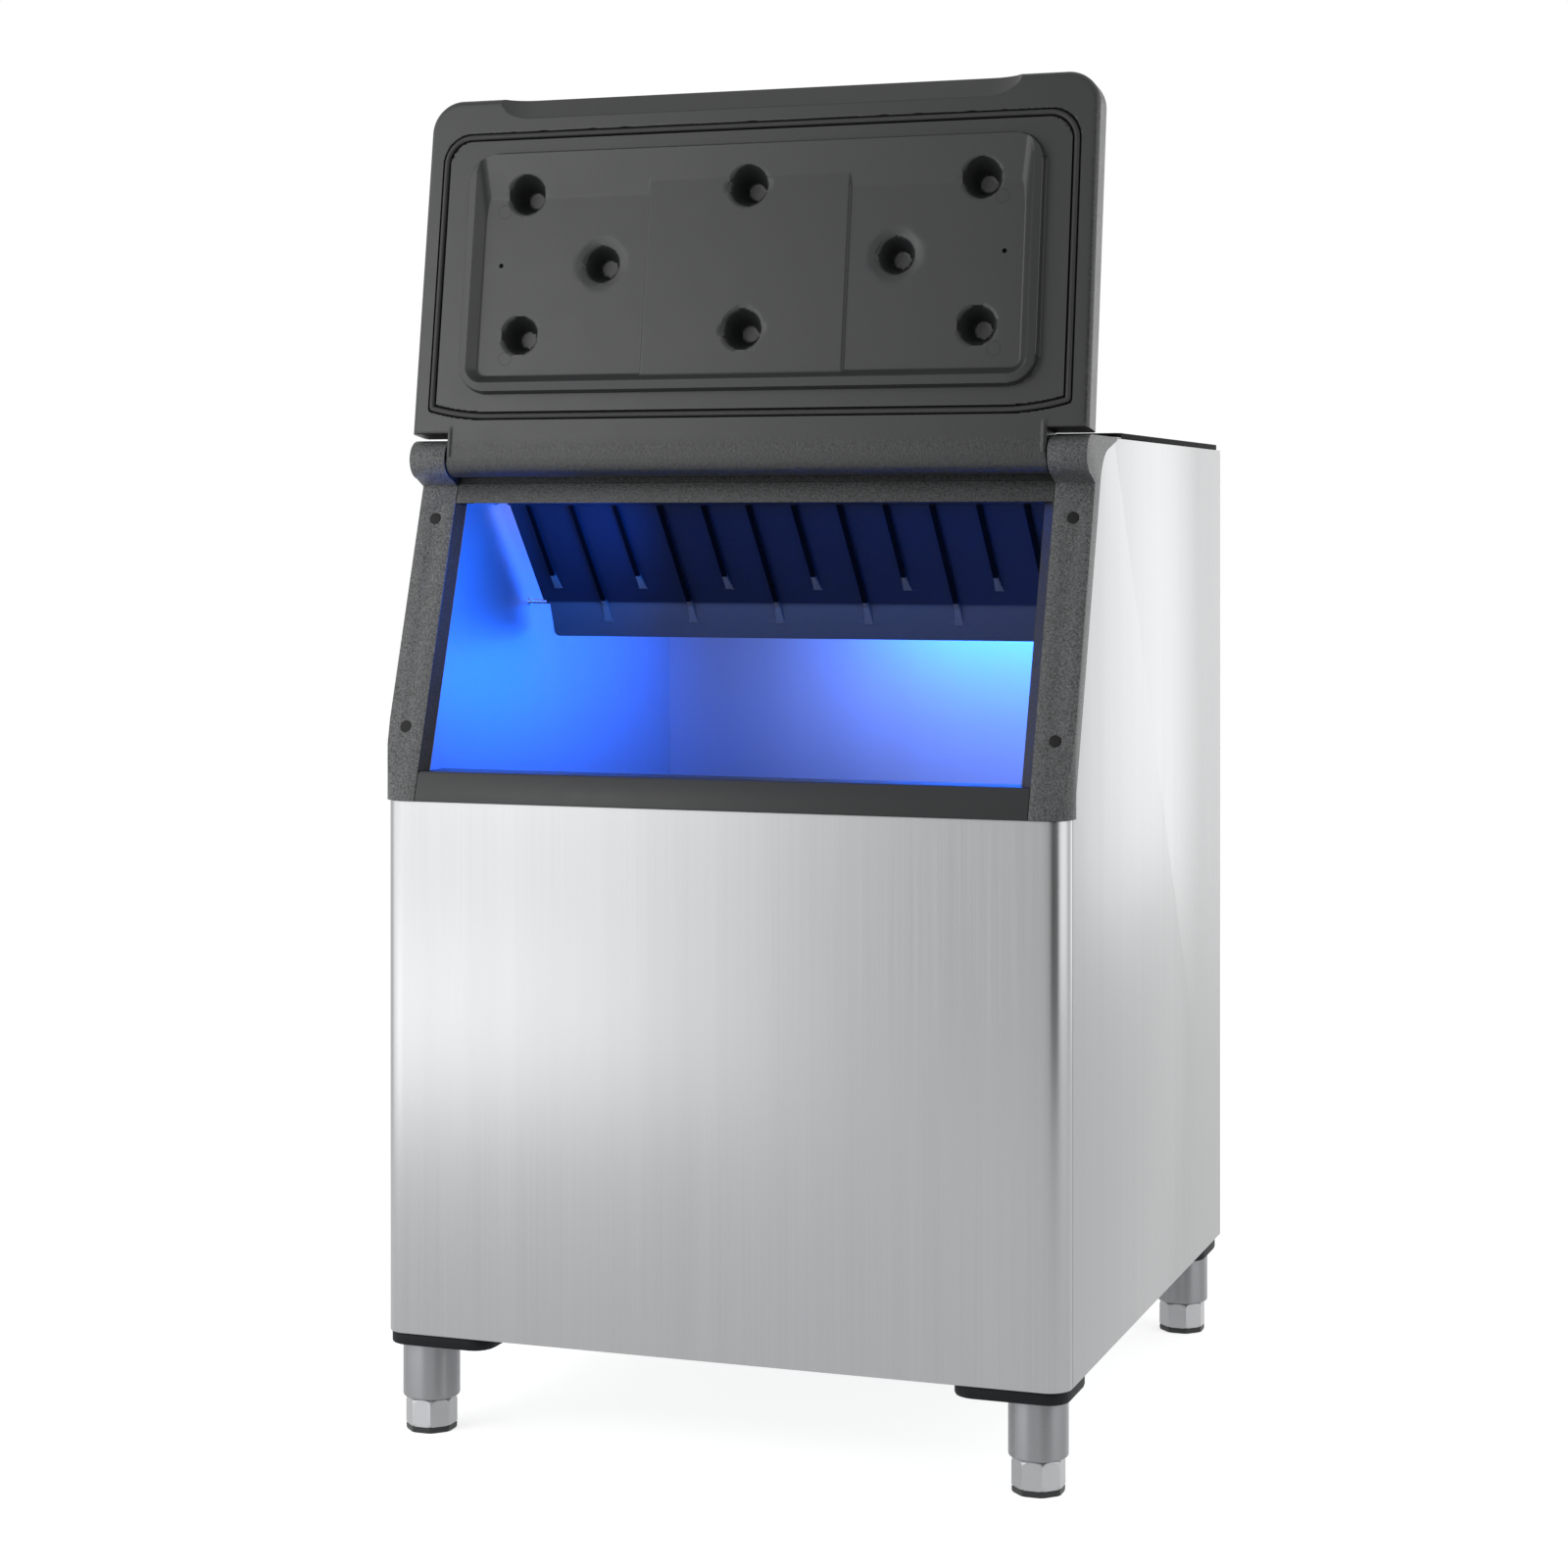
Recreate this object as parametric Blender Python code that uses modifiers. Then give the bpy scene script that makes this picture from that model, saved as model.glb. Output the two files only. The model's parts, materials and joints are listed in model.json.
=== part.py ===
"""Insulated ice storage bin with a slanted mouth, a lid that swings back, a baffle and levelling feet.

Metres, +Z up. X runs across the bin, Y from the front to the back. The origin lies on the floor,
in the middle of the bin's width and depth. The lid stands open, resting on the frame's cheeks.
"""

import math

import bmesh
import bpy
from mathutils import Matrix, Vector

# Clearances and overruns
GAP = 0.0003                     # between pieces that touch
RUNNING_GAP = 0.0002             # between a pin and its bore
OVERRUN = 0.01                   # how far a cutter runs past what it cuts
JOIN_DEPTH = 0.001               # how deep a rib is set into what it is moulded on

# Cabinet
CABINET_WIDTH = 0.762
CABINET_DEPTH = 0.7685
PANEL_BOTTOM_Z = 0.1107
SIDE_TOP_Z = 1.0778
FRONT_TOP_Z = 0.6868
SHEET = 0.001                    # outer steel
FRONT_CORNER_RADIUS = 0.025
SEAM_SETBACK = 0.0282            # front plane to the seam at the side

# Slanted mouth
SLANT = math.radians(18.0)       # from the vertical
SLANT_FOOT_Z = 0.6975            # where the slanted face meets the front plane
SILL_TOP_Z = 0.719
SILL_EDGE_RADIUS = 0.003
CHEEK_WIDTH = 0.039              # outer steel's side to the mouth
FRAME_SIDE_PROUD = 0.0035        # cheeks stand out past the steel sides
CHEEK_DEPTH = 0.0235             # measured level, along Y
CHEEK_BEND_Z = 1.0335            # where the cheek's back edge starts to curve
CHEEK_BEND_RADIUS = 0.048
CHEEK_TOP_SLOPE = math.radians(14.0)
CHEEK_BACK_SETBACK = 0.2065      # front plane to the cheek's back end
EAR_NECK_Z = 1.0285              # where the hinge ear runs into the slanted face
EAR_NECK_ANGLE = math.radians(262.0)
REVEAL_SHY = 0.0007              # the reveal's inner edge stops this far short of the liner's face
REVEAL_DEPTH = 0.007             # slanted face to the liner's front edge, measured level
BAR_BOTTOM_Z = 1.0095
BAR_WALL = 0.0095
BAR_DECK = 0.003
BAR_STEP_Z = 1.0315              # small step across the bar's face
BAR_STEP = 0.0012

# Hinge and lid
AXIS_Z = 1.0575
AXIS_STAND = 0.0222              # slanted face to the hinge axis
EAR_RADIUS = 0.021
LID_LEAN = math.radians(8.26)    # open lid, back from the vertical
LID_FACE_OFFSET = 0.0195         # hinge axis to the lid's inner face
LID_THICKNESS = 0.040
LID_REACH = 0.4055               # hinge axis to the lid's far edge
LID_CORNER_RADIUS = 0.036
LID_EDGE_RADIUS = 0.007
LID_STOP_GAP = 0.0005            # open lid to the cheek tops that it rests on
TONGUE_SIDE_GAP = 0.0015
LID_WALL = 0.003
PIN_RADIUS = 0.005
PIN_IN_LID = 0.028
PIN_IN_EAR = 0.030

# Lid's inner face
SEAL_SIDE_INSET = 0.0227         # in from the lid's sides
SEAL_LOW = 0.0454
SEAL_HIGH = 0.3613
SEAL_RISE = 0.0095               # how far the lower run climbs at its ends
SEAL_RISE_LENGTH = 0.070
SEAL_CORNER_RADIUS = 0.030
SEAL_RADIUS = 0.0031
SEAL_SINK = 0.0011
GROOVE_RADIUS = 0.0045
RING_SIDE_INSET = 0.0545         # raised ring that enters the mouth, in from the lid's sides
RING_LOW = 0.0695
RING_HIGH = 0.341
RING_CORNER_RADIUS = 0.034
RING_HEIGHT = 0.0095             # at its outer edge
RING_BAND = 0.0115               # outer edge to ridge
RIDGE_HEIGHT = 0.0125
PAD_SIDE_INSET = 0.0205          # sunk pad inside the ring, in from the ring's sides
PAD_LOW = 0.0898
PAD_HIGH = 0.2895
PAD_CORNER_RADIUS = 0.010
RAMP_HEIGHT = 0.009              # ramp above the pad, where it meets the ring's far side
PANEL_SHARE = 0.3                # low plateau in the middle, of the lid's half width
PANEL_HEIGHT = 0.0026
KISS_TOP_RADIUS = 0.0205         # conical recesses that reach for the outer skin
KISS_FLOOR_RADIUS = 0.0102
KISS_DEPTH = 0.029
KISS_OUTER_SHARE = 0.679         # places across the lid, of its half width
KISS_INNER_SHARE = 0.438
KISS_HIGH = 0.2925
KISS_MIDDLE = 0.213
KISS_LOW = 0.135
VENT_SHARE = 0.749
VENT_RADIUS = 0.002
GRIP_SIDE_INSET = 0.0845
GRIP_HEIGHT = 0.023
GRIP_DEPTH = 0.016
GRIP_CORNER_RADIUS = 0.020
CAVITY_MARGIN = 0.014            # foam core, in from the lid's outline
CAVITY_LOW = 0.061
LID_FACE_WALL = 0.009            # inner face to the foam core, past the seal's groove
CORE_POST_WALL = 0.0035

# Liner and insulation
SIDE_WALL = 0.050                # outer steel's side to the liner's inner face
LINER_SHEET = 0.0015
LINER_FRONT_SETBACK = 0.0515     # front plane to the liner's inner face
LINER_BACK_WALL = 0.0472         # liner's inner face to the back plane
LINER_FLOOR_Z = 0.1615
HEADER_FLOOR_Z = 1.0220
HEADER_BACK_SETBACK = 0.2450

# Top
COVER_SHEET = 0.001
RIM_HEIGHT = 0.0062
RIM_FRONT_SETBACK = 0.2400
RIM_FRONT_WIDTH = 0.022
RIM_INSET = 0.001
RIM_BACK_INSET = 0.0115
RIM_CORNER_RADIUS = 0.008

# Baffle
BAFFLE_AXIS_SETBACK = 0.1850
BAFFLE_AXIS_Z = 1.0130
BAFFLE_BARREL_RADIUS = 0.0055
BAFFLE_PIN_RADIUS = 0.003
BAFFLE_SIDE_GAP = 0.016          # to the liner's sides
LIP_SIDE_STEP = 0.007            # the lip is narrower on each side
BAFFLE_SHEET = 0.003
BAFFLE_LENGTH = 0.1546           # axis to the bend
BAFFLE_LEAN = math.radians(40.8)
LIP_LENGTH = 0.0418
LIP_LEAN = math.radians(21.0)
RIB_COUNT = 12
RIB_SIDE_MARGIN = 0.0246         # outermost ribs, in from the baffle's ends
RIB_WIDTH = 0.004
RIB_HEIGHT = 0.005
RIB_SHORT = 0.128
RIB_LONG = 0.172
RIB_START = 0.014
RIB_FOOT = 0.016
BAFFLE_PIN_LENGTH = 0.012        # in the barrel
REST_RADIUS = 0.0025
REST_UP_SHARE = 0.968            # place of the rest along the baffle, from its axis
REST_HEAD_RADIUS = 0.005
REST_HEAD = 0.0012
REST_REACH = 0.006               # how far the rest runs under the baffle's edge

# Light
LED_END_GAP = 0.031              # to the liner's sides
LED_WIDTH = 0.016
LED_HEIGHT = 0.0085
LED_WALL = 0.0015
LED_SETBACK = 0.002              # from the top bar's back

# Screw caps in the cheeks
CAP_RADIUS = 0.0062
CAP_HEIGHT = 0.0012
CAP_HIGH_Z = 0.9925
CAP_LOW_Z = 0.766
CAP_INSET = 0.0205               # in from the cheek's outer side
CAP_PROUD_SHARE = 0.25           # of its height, stands out of the cheek

# Drain
DRAIN_BACK_INSET = 0.1135        # in from the back plane
DRAIN_BORE_RADIUS = 0.0125
DRAIN_RADIUS = 0.0165
DRAIN_FLANGE_RADIUS = 0.030
DRAIN_FLANGE = 0.0025
DRAIN_BOTTOM_Z = 0.078
NUT_RADIUS = 0.027
NUT_HEIGHT = 0.010
STRAINER_RADIUS = 0.027
STRAINER_HEIGHT = 0.012
STRAINER_WALL = 0.0015
STRAINER_SLOTS = 6
STRAINER_SLOT = 0.003
STRAINER_SLOPE_SHARE = 0.333     # of its height, how far its side leans in

# Legs
LEG_SIDE_INSET = 0.0394
LEG_FRONT_SETBACK = 0.0406
LEG_BACK_INSET = 0.0395
PLATE_HEIGHT = 0.0134
PLATE_LENGTH = 0.121             # across the bin
PLATE_DEPTH = 0.104              # from front to back
PLATE_INSET = 0.002
PLATE_END_RADIUS = 0.006
TUBE_RADIUS = 0.031
TUBE_WALL = 0.002
TUBE_BOTTOM_Z = 0.0365
TUBE_CAP = 0.003
TUBE_HEM_RADIUS = 0.003
SOCKET_HEIGHT = 0.008            # threaded ring in the tube's lower end
FOOT_RADIUS = 0.0278
FOOT_NECK_RADIUS = 0.0265
FOOT_SHOULDER = 0.003
STEM_RADIUS = 0.010
STEM_LENGTH = 0.045
SOLE_HEIGHT = 0.0062
SOLE_INSET = 0.0004

# Counts and steps
SIDES = 24
CORNER_STEPS = 5
FINE_STEPS = 8
OCTAGON = 8

# How the surfaces are welded, rounded and shaded
WELD_SHARE = 0.1                 # of the gap: points closer than this are one
FLAT_ANGLE = math.radians(1.0)
BEVEL_ANGLE = math.radians(60.0)
SMOOTH_ANGLE = math.radians(35.0)

# Sizes and places that follow from those above
FRAME_PROUD = (SLANT_FOOT_Z - FRONT_TOP_Z - GAP) * math.tan(SLANT)
FRONT_Y = -(CABINET_DEPTH - FRAME_PROUD) / 2
BACK_Y = FRONT_Y + CABINET_DEPTH
HALF_WIDTH = CABINET_WIDTH / 2
SILL_BOTTOM_Z = FRONT_TOP_Z + GAP
MOUTH_HALF_WIDTH = HALF_WIDTH - CHEEK_WIDTH
LINER_HALF_WIDTH = HALF_WIDTH - SIDE_WALL
REVEAL_INSET = MOUTH_HALF_WIDTH - LINER_HALF_WIDTH - REVEAL_SHY
SEAM_Y = FRONT_Y + SEAM_SETBACK
AXIS_Y = FRONT_Y + (AXIS_Z - SLANT_FOOT_Z) * math.tan(SLANT) - AXIS_STAND / math.cos(SLANT)
CHEEK_TOP_Z = AXIS_Z + EAR_RADIUS
CHEEK_BACK_Y = FRONT_Y + CHEEK_BACK_SETBACK
CHEEK_OUTER_X = HALF_WIDTH + FRAME_SIDE_PROUD
LINER_FRONT_Y = FRONT_Y + LINER_FRONT_SETBACK
LINER_BACK_Y = BACK_Y - LINER_BACK_WALL
WALL_X = LINER_HALF_WIDTH + LINER_SHEET
INNER_X = HALF_WIDTH - SHEET - GAP
HEADER_BACK_Y = FRONT_Y + HEADER_BACK_SETBACK
LID_OUTER_OFFSET = LID_THICKNESS - LID_FACE_OFFSET
NOTCH_REACH = ((EAR_RADIUS + LID_STOP_GAP + LID_OUTER_OFFSET * math.sin(LID_LEAN))
               / math.cos(LID_LEAN))
TONGUE_HALF_WIDTH = MOUTH_HALF_WIDTH - TONGUE_SIDE_GAP
SEAL_HALF_WIDTH = CHEEK_OUTER_X - SEAL_SIDE_INSET
RING_HALF_WIDTH = CHEEK_OUTER_X - RING_SIDE_INSET
PAD_HALF_WIDTH = RING_HALF_WIDTH - PAD_SIDE_INSET
PANEL_HALF_WIDTH = CHEEK_OUTER_X * PANEL_SHARE
GRIP_HALF_WIDTH = CHEEK_OUTER_X - GRIP_SIDE_INSET
BAFFLE_HALF_WIDTH = LINER_HALF_WIDTH - BAFFLE_SIDE_GAP
BAFFLE_LIP_HALF_WIDTH = BAFFLE_HALF_WIDTH - LIP_SIDE_STEP
RIB_SPACING = 2 * (BAFFLE_HALF_WIDTH - RIB_SIDE_MARGIN) / (RIB_COUNT - 1)
LED_HALF_LENGTH = LINER_HALF_WIDTH - LED_END_GAP
LEG_X = HALF_WIDTH - LEG_SIDE_INSET
DRAIN_Y = BACK_Y - DRAIN_BACK_INSET
BAFFLE_AXIS_Y = FRONT_Y + BAFFLE_AXIS_SETBACK
FOOT_TOP_Z = TUBE_BOTTOM_Z - GAP
LEG_FRONT_Y = FRONT_Y + LEG_FRONT_SETBACK
LEG_BACK_Y = BACK_Y - LEG_BACK_INSET

# An outline drawn in its own X and Y stands up in the part's Y and Z, its thickness along X
SIDEWAYS = (math.pi / 2, 0, math.pi / 2)

bpy_objects = bpy.data.objects
for old in list(bpy_objects):
    bpy_objects.remove(old, do_unlink=True)

PARTS = bpy.data.collections.new("Ice_storage_bin")
CUTTERS = bpy.data.collections.new("Cutters")
for collection in (PARTS, CUTTERS):
    bpy.context.scene.collection.children.link(collection)


def material(name, colour, roughness, metallic=0.0, glow=0.0):
    """Principled material of one colour."""
    made = bpy.data.materials.new(name)
    made.use_nodes = True
    shader = made.node_tree.nodes["Principled BSDF"]
    shader.inputs["Base Color"].default_value = (*colour, 1.0)
    shader.inputs["Roughness"].default_value = roughness
    shader.inputs["Metallic"].default_value = metallic
    if glow:
        shader.inputs["Emission Color"].default_value = (*colour, 1.0)
        shader.inputs["Emission Strength"].default_value = glow
    return made


BRUSHED = material("Brushed_steel", (0.56, 0.56, 0.56), 0.34, 1.0)
LINER_STEEL = material("Liner_steel", (0.60, 0.62, 0.64), 0.22, 1.0)
GALVANISED = material("Galvanised_steel", (0.45, 0.46, 0.47), 0.45, 0.9)
GRAINED = material("Grained_black_plastic", (0.075, 0.075, 0.075), 0.6)
LID_PLASTIC = material("Moulded_lid_plastic", (0.085, 0.085, 0.085), 0.45)
SMOOTH_PLASTIC = material("Smooth_black_plastic", (0.08, 0.08, 0.08), 0.4)
BAFFLE_PLASTIC = material("Baffle_plastic", (0.03, 0.033, 0.04), 0.4)
FOAM = material("Rigid_foam", (0.75, 0.68, 0.45), 0.9)
RUBBER = material("Black_rubber", (0.02, 0.02, 0.02), 0.7)
TURNED_STEEL = material("Turned_steel", (0.55, 0.55, 0.55), 0.25, 1.0)
WHITE_PLASTIC = material("White_plastic", (0.8, 0.8, 0.8), 0.35)
CHANNEL = material("Anodised_channel", (0.65, 0.65, 0.66), 0.35, 1.0)
LENS = material("Blue_light_lens", (0.05, 0.25, 1.0), 0.3, glow=6.0)


def mouth_y(z):
    """Y of the slanted face at a height."""
    return FRONT_Y + (z - SLANT_FOOT_Z) * math.tan(SLANT)


def arc(centre, radius, start, end, steps):
    """Points along an arc, both ends included."""
    turns = [start + (end - start) * step / steps for step in range(steps + 1)]
    return [(centre[0] + radius * math.cos(turn), centre[1] + radius * math.sin(turn)) for turn in turns]


def rounded_box(left, right, low, high, radius, steps=CORNER_STEPS):
    """Outline of a box with four round corners, counter-clockwise."""
    quarter = math.pi / 2
    corners = ((right - radius, low + radius, -quarter), (right - radius, high - radius, 0),
               (left + radius, high - radius, quarter), (left + radius, low + radius, 2 * quarter))
    points = []
    for x, y, start in corners:
        points += arc((x, y), radius, start, start + quarter, steps)
    return points


def add_object(name, mesh, look, parent=None, collection=PARTS):
    """Object of a mesh, in the parts or among the cutters."""
    made = bpy_objects.new(name, mesh)
    collection.objects.link(made)
    made.parent = parent
    if look:
        mesh.materials.clear()
        mesh.materials.append(look)
    if collection is CUTTERS:
        made.hide_render = True
        made.display_type = "WIRE"
    return made


def outline_solid(name, outlines, thickness, look, place=(0, 0, 0), turn=(0, 0, 0), parent=None,
                  collection=PARTS):
    """Flat outline given a thickness either way of its own plane, as a welded mesh."""
    curve = bpy.data.curves.new(name, "CURVE")
    curve.dimensions = "2D"
    curve.fill_mode = "BOTH"
    curve.extrude = thickness / 2
    for points in outlines:
        spline = curve.splines.new("POLY")
        spline.points.add(len(points) - 1)
        for point, (x, y) in zip(spline.points, points):
            point.co = (x, y, 0, 1)
        spline.use_cyclic_u = True
    drawn = bpy_objects.new(name + "_outline", curve)
    PARTS.objects.link(drawn)
    drawn.parent = parent
    drawn.location = place
    drawn.rotation_euler = turn
    return curve_to_mesh(drawn, name, look, parent, collection)


def curve_to_mesh(drawn, name, look, parent, collection):
    """The evaluated curve as a mesh with its caps welded, and the curve removed."""
    bpy.context.view_layer.update()
    evaluated = drawn.evaluated_get(bpy.context.evaluated_depsgraph_get())
    mesh = bpy.data.meshes.new_from_object(evaluated)
    shell = bmesh.new()
    shell.from_mesh(mesh)
    bmesh.ops.remove_doubles(shell, verts=shell.verts, dist=GAP * WELD_SHARE)
    bmesh.ops.recalc_face_normals(shell, faces=shell.faces)
    shell.to_mesh(mesh)
    shell.free()
    made = add_object(name, mesh, look, parent, collection)
    made.matrix_world = drawn.matrix_world
    bpy_objects.remove(drawn, do_unlink=True)
    return made


def side_solid(name, points, low_x, high_x, look, parent=None, collection=PARTS):
    """Outline in Y and Z, carried from one X to another."""
    middle = ((low_x + high_x) / 2, 0, 0)
    return outline_solid(name, [points], high_x - low_x, look, middle, SIDEWAYS, parent, collection)


def plan_solid(name, outlines, low_z, high_z, look, place=(0, 0), collection=PARTS):
    """Outline in X and Y, carried from one height to another."""
    middle = (place[0], place[1], (low_z + high_z) / 2)
    return outline_solid(name, outlines, high_z - low_z, look, middle, collection=collection)


def box(name, low, high, look, parent=None, collection=PARTS):
    """Plain box between two corners."""
    shell = bmesh.new()
    size = [top - bottom for bottom, top in zip(low, high)]
    bmesh.ops.create_cube(shell, size=1, matrix=Matrix.Diagonal((*size, 1)))
    mesh = bpy.data.meshes.new(name)
    shell.to_mesh(mesh)
    shell.free()
    made = add_object(name, mesh, look, parent, collection)
    made.location = [(bottom + top) / 2 for bottom, top in zip(low, high)]
    return made


def turned(name, profile, look, place=(0, 0, 0), turn=(0, 0, 0), sides=SIDES, parent=None, collection=PARTS):
    """Profile of radii and heights, from the top down its outer side, turned round Z."""
    mesh = bpy.data.meshes.new(name)
    mesh.from_pydata([(radius, 0, height) for radius, height in profile],
                     [(index, index + 1) for index in range(len(profile) - 1)], [])
    made = add_object(name, mesh, look, parent, collection)
    made.location = place
    made.rotation_euler = turn
    screw = made.modifiers.new("Turn", "SCREW")
    screw.steps = sides
    screw.render_steps = sides
    screw.use_merge_vertices = True
    screw.merge_threshold = GAP * WELD_SHARE
    screw.use_smooth_shade = True
    return made


def loft(name, rings, look, parent=None, collection=PARTS):
    """Closed solid through rings of as many points each, with flat ends."""
    shell = bmesh.new()
    loops = [[shell.verts.new(point) for point in ring] for ring in rings]
    count = len(loops[0])
    for lower, upper in zip(loops, loops[1:]):
        for index in range(count):
            after = (index + 1) % count
            shell.faces.new((lower[index], lower[after], upper[after], upper[index]))
    shell.faces.new(loops[0])
    shell.faces.new(loops[-1])
    bmesh.ops.recalc_face_normals(shell, faces=shell.faces)
    mesh = bpy.data.meshes.new(name)
    shell.to_mesh(mesh)
    shell.free()
    return add_object(name, mesh, look, parent, collection)


def boolean(target, tool, operation="DIFFERENCE"):
    """Cut a tool out of a piece, join it on, or keep what both share."""
    change = target.modifiers.new(tool.name, "BOOLEAN")
    change.operation = operation
    change.object = tool


def merge_flats(piece):
    """Triangles of a flat cap merged into one face, so that its edges can be rounded."""
    shell = bmesh.new()
    shell.from_mesh(piece.data)
    bmesh.ops.dissolve_limit(shell, angle_limit=FLAT_ANGLE, verts=shell.verts, edges=shell.edges)
    shell.to_mesh(piece.data)
    shell.free()


def settle(piece):
    """Mesh of a piece as its modifiers leave it, in its own frame."""
    bpy.context.view_layer.update()
    return bpy.data.meshes.new_from_object(piece.evaluated_get(bpy.context.evaluated_depsgraph_get()))


def smooth(piece):
    """Round faces shaded smooth, with sharp edges kept."""
    piece.data.shade_smooth()
    piece.data.set_sharp_from_angle(angle=SMOOTH_ANGLE)


def cheek_back_edge(shift=0.0):
    """Back edge of a cheek from its foot to its back end, moved back and down by a shift."""
    offset_foot_z = SLANT_FOOT_Z + (SEAM_SETBACK - CHEEK_DEPTH) / math.tan(SLANT)
    start_turn = math.pi / 2 - SLANT
    bend = (mouth_y(CHEEK_BEND_Z) + CHEEK_DEPTH, CHEEK_BEND_Z)
    centre = (bend[0] + CHEEK_BEND_RADIUS * math.sin(start_turn),
              bend[1] - CHEEK_BEND_RADIUS * math.cos(start_turn))
    end_turn = CHEEK_TOP_SLOPE + math.pi / 2
    curve = arc(centre, CHEEK_BEND_RADIUS, start_turn + math.pi / 2, end_turn, FINE_STEPS)
    last = curve[-1]
    end = (CHEEK_BACK_Y, last[1] + (CHEEK_BACK_Y - last[0]) * math.tan(CHEEK_TOP_SLOPE))
    points = [(SEAM_Y, offset_foot_z), *curve, end]
    return [(SEAM_Y + shift, SILL_BOTTOM_Z)] + [(y + shift, z - shift) for y, z in points]


def outer_plan(inset):
    """Plan of the cabinet with its front corners round, drawn in from the steel's outside."""
    radius = FRONT_CORNER_RADIUS - inset
    side = HALF_WIDTH - inset
    front = FRONT_Y + inset
    quarter = math.pi / 2
    return (arc((side - radius, front + radius), radius, -quarter, 0, CORNER_STEPS)
            + [(side, BACK_Y), (-side, BACK_Y)]
            + arc((radius - side, front + radius), radius, 2 * quarter, 3 * quarter, CORNER_STEPS))


def clipped_plan(inset, low_y, high_y):
    """The cabinet's plan kept between two depths."""
    return [(x, min(max(y, low_y), high_y)) for x, y in outer_plan(inset)]


def build_cabinet():
    """Outer steel: a front wrapped round its corners, two sides, a back and a base."""
    quarter = math.pi / 2
    side, radius = HALF_WIDTH, FRONT_CORNER_RADIUS
    wrap = ([(-side, SEAM_Y)]
            + arc((radius - side, FRONT_Y + radius), radius, 2 * quarter, 3 * quarter, FINE_STEPS)
            + arc((side - radius, FRONT_Y + radius), radius, -quarter, 0, FINE_STEPS)
            + [(side, SEAM_Y)])
    shell = bmesh.new()
    lower = [shell.verts.new((x, y, PANEL_BOTTOM_Z)) for x, y in wrap]
    upper = [shell.verts.new((x, y, FRONT_TOP_Z)) for x, y in wrap]
    for index in range(len(wrap) - 1):
        shell.faces.new((lower[index], lower[index + 1], upper[index + 1], upper[index]))
    mesh = bpy.data.meshes.new("front_panel")
    shell.to_mesh(mesh)
    shell.free()
    front = add_object("front_panel", mesh, BRUSHED)
    wall = front.modifiers.new("Sheet", "SOLIDIFY")
    wall.thickness = SHEET
    wall.offset = -1
    smooth(front)

    outline = ([(SEAM_Y + GAP, PANEL_BOTTOM_Z)] + cheek_back_edge(GAP)
               + [(CHEEK_BACK_Y + GAP, SIDE_TOP_Z), (BACK_Y, SIDE_TOP_Z), (BACK_Y, PANEL_BOTTOM_Z)])
    for name, sign in (("side_panel_left", -1), ("side_panel_right", 1)):
        span = sorted((sign * HALF_WIDTH, sign * (HALF_WIDTH - SHEET)))
        side_solid(name, outline, *span, BRUSHED)

    box("back_panel", (-INNER_X, BACK_Y - SHEET, PANEL_BOTTOM_Z), (INNER_X, BACK_Y, SIDE_TOP_Z), GALVANISED)
    base_plan = clipped_plan(SHEET + GAP, FRONT_Y, BACK_Y - SHEET - GAP)
    base = plan_solid("base_pan", [base_plan], PANEL_BOTTOM_Z, PANEL_BOTTOM_Z + SHEET, GALVANISED)
    cover_z = SIDE_TOP_Z + GAP
    rim_front = FRONT_Y + RIM_FRONT_SETBACK
    box("header_cover", (-HALF_WIDTH, CHEEK_BACK_Y + GAP, cover_z),
        (HALF_WIDTH, rim_front - GAP, cover_z + COVER_SHEET), BRUSHED)
    return base


def build_liner():
    """Stainless liner of five walls, and the tray that closes the header above the mouth."""
    low_z = LINER_FLOOR_Z + GAP
    high_z = SIDE_TOP_Z - GAP
    inner_front = LINER_FRONT_Y + GAP
    inner_back = LINER_BACK_Y - GAP
    lip_low = SILL_TOP_Z + GAP
    lip_high = BAR_BOTTOM_Z - GAP
    behind_bar = mouth_y(lip_high) + CHEEK_DEPTH + 2 * GAP
    edge = [(y, z) for y, z in cheek_back_edge(2 * GAP) if z > lip_high]
    outline = ([(inner_front, low_z), (inner_front, lip_low), (mouth_y(lip_low) + REVEAL_DEPTH, lip_low),
                (mouth_y(lip_high) + REVEAL_DEPTH, lip_high), (behind_bar, lip_high)] + edge
               + [(CHEEK_BACK_Y + GAP, high_z), (inner_back, high_z), (inner_back, low_z)])
    for name, sign in (("liner_left", -1), ("liner_right", 1)):
        span = sorted((sign * LINER_HALF_WIDTH, sign * WALL_X))
        side_solid(name, outline, *span, LINER_STEEL)
    box("liner_back", (-WALL_X, LINER_BACK_Y, low_z), (WALL_X, LINER_BACK_Y + LINER_SHEET, high_z),
        LINER_STEEL)
    box("liner_front", (-WALL_X, LINER_FRONT_Y - LINER_SHEET, low_z), (WALL_X, LINER_FRONT_Y, FRONT_TOP_Z),
        LINER_STEEL)
    floor = box("liner_floor", (-WALL_X, LINER_FRONT_Y - LINER_SHEET, LINER_FLOOR_Z - LINER_SHEET),
                (WALL_X, LINER_BACK_Y + LINER_SHEET, LINER_FLOOR_Z), LINER_STEEL)

    tray_front = mouth_y(HEADER_FLOOR_Z + LINER_SHEET) + BAR_WALL + GAP
    tray_top = HEADER_FLOOR_Z + LINER_SHEET
    tray = [(tray_front, HEADER_FLOOR_Z), (HEADER_BACK_Y, HEADER_FLOOR_Z), (HEADER_BACK_Y, high_z),
            (HEADER_BACK_Y - LINER_SHEET, high_z), (HEADER_BACK_Y - LINER_SHEET, tray_top),
            (tray_front, tray_top)]
    tray_x = LINER_HALF_WIDTH - GAP
    side_solid("header_tray", tray, -tray_x, tray_x, LINER_STEEL)
    return floor


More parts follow.
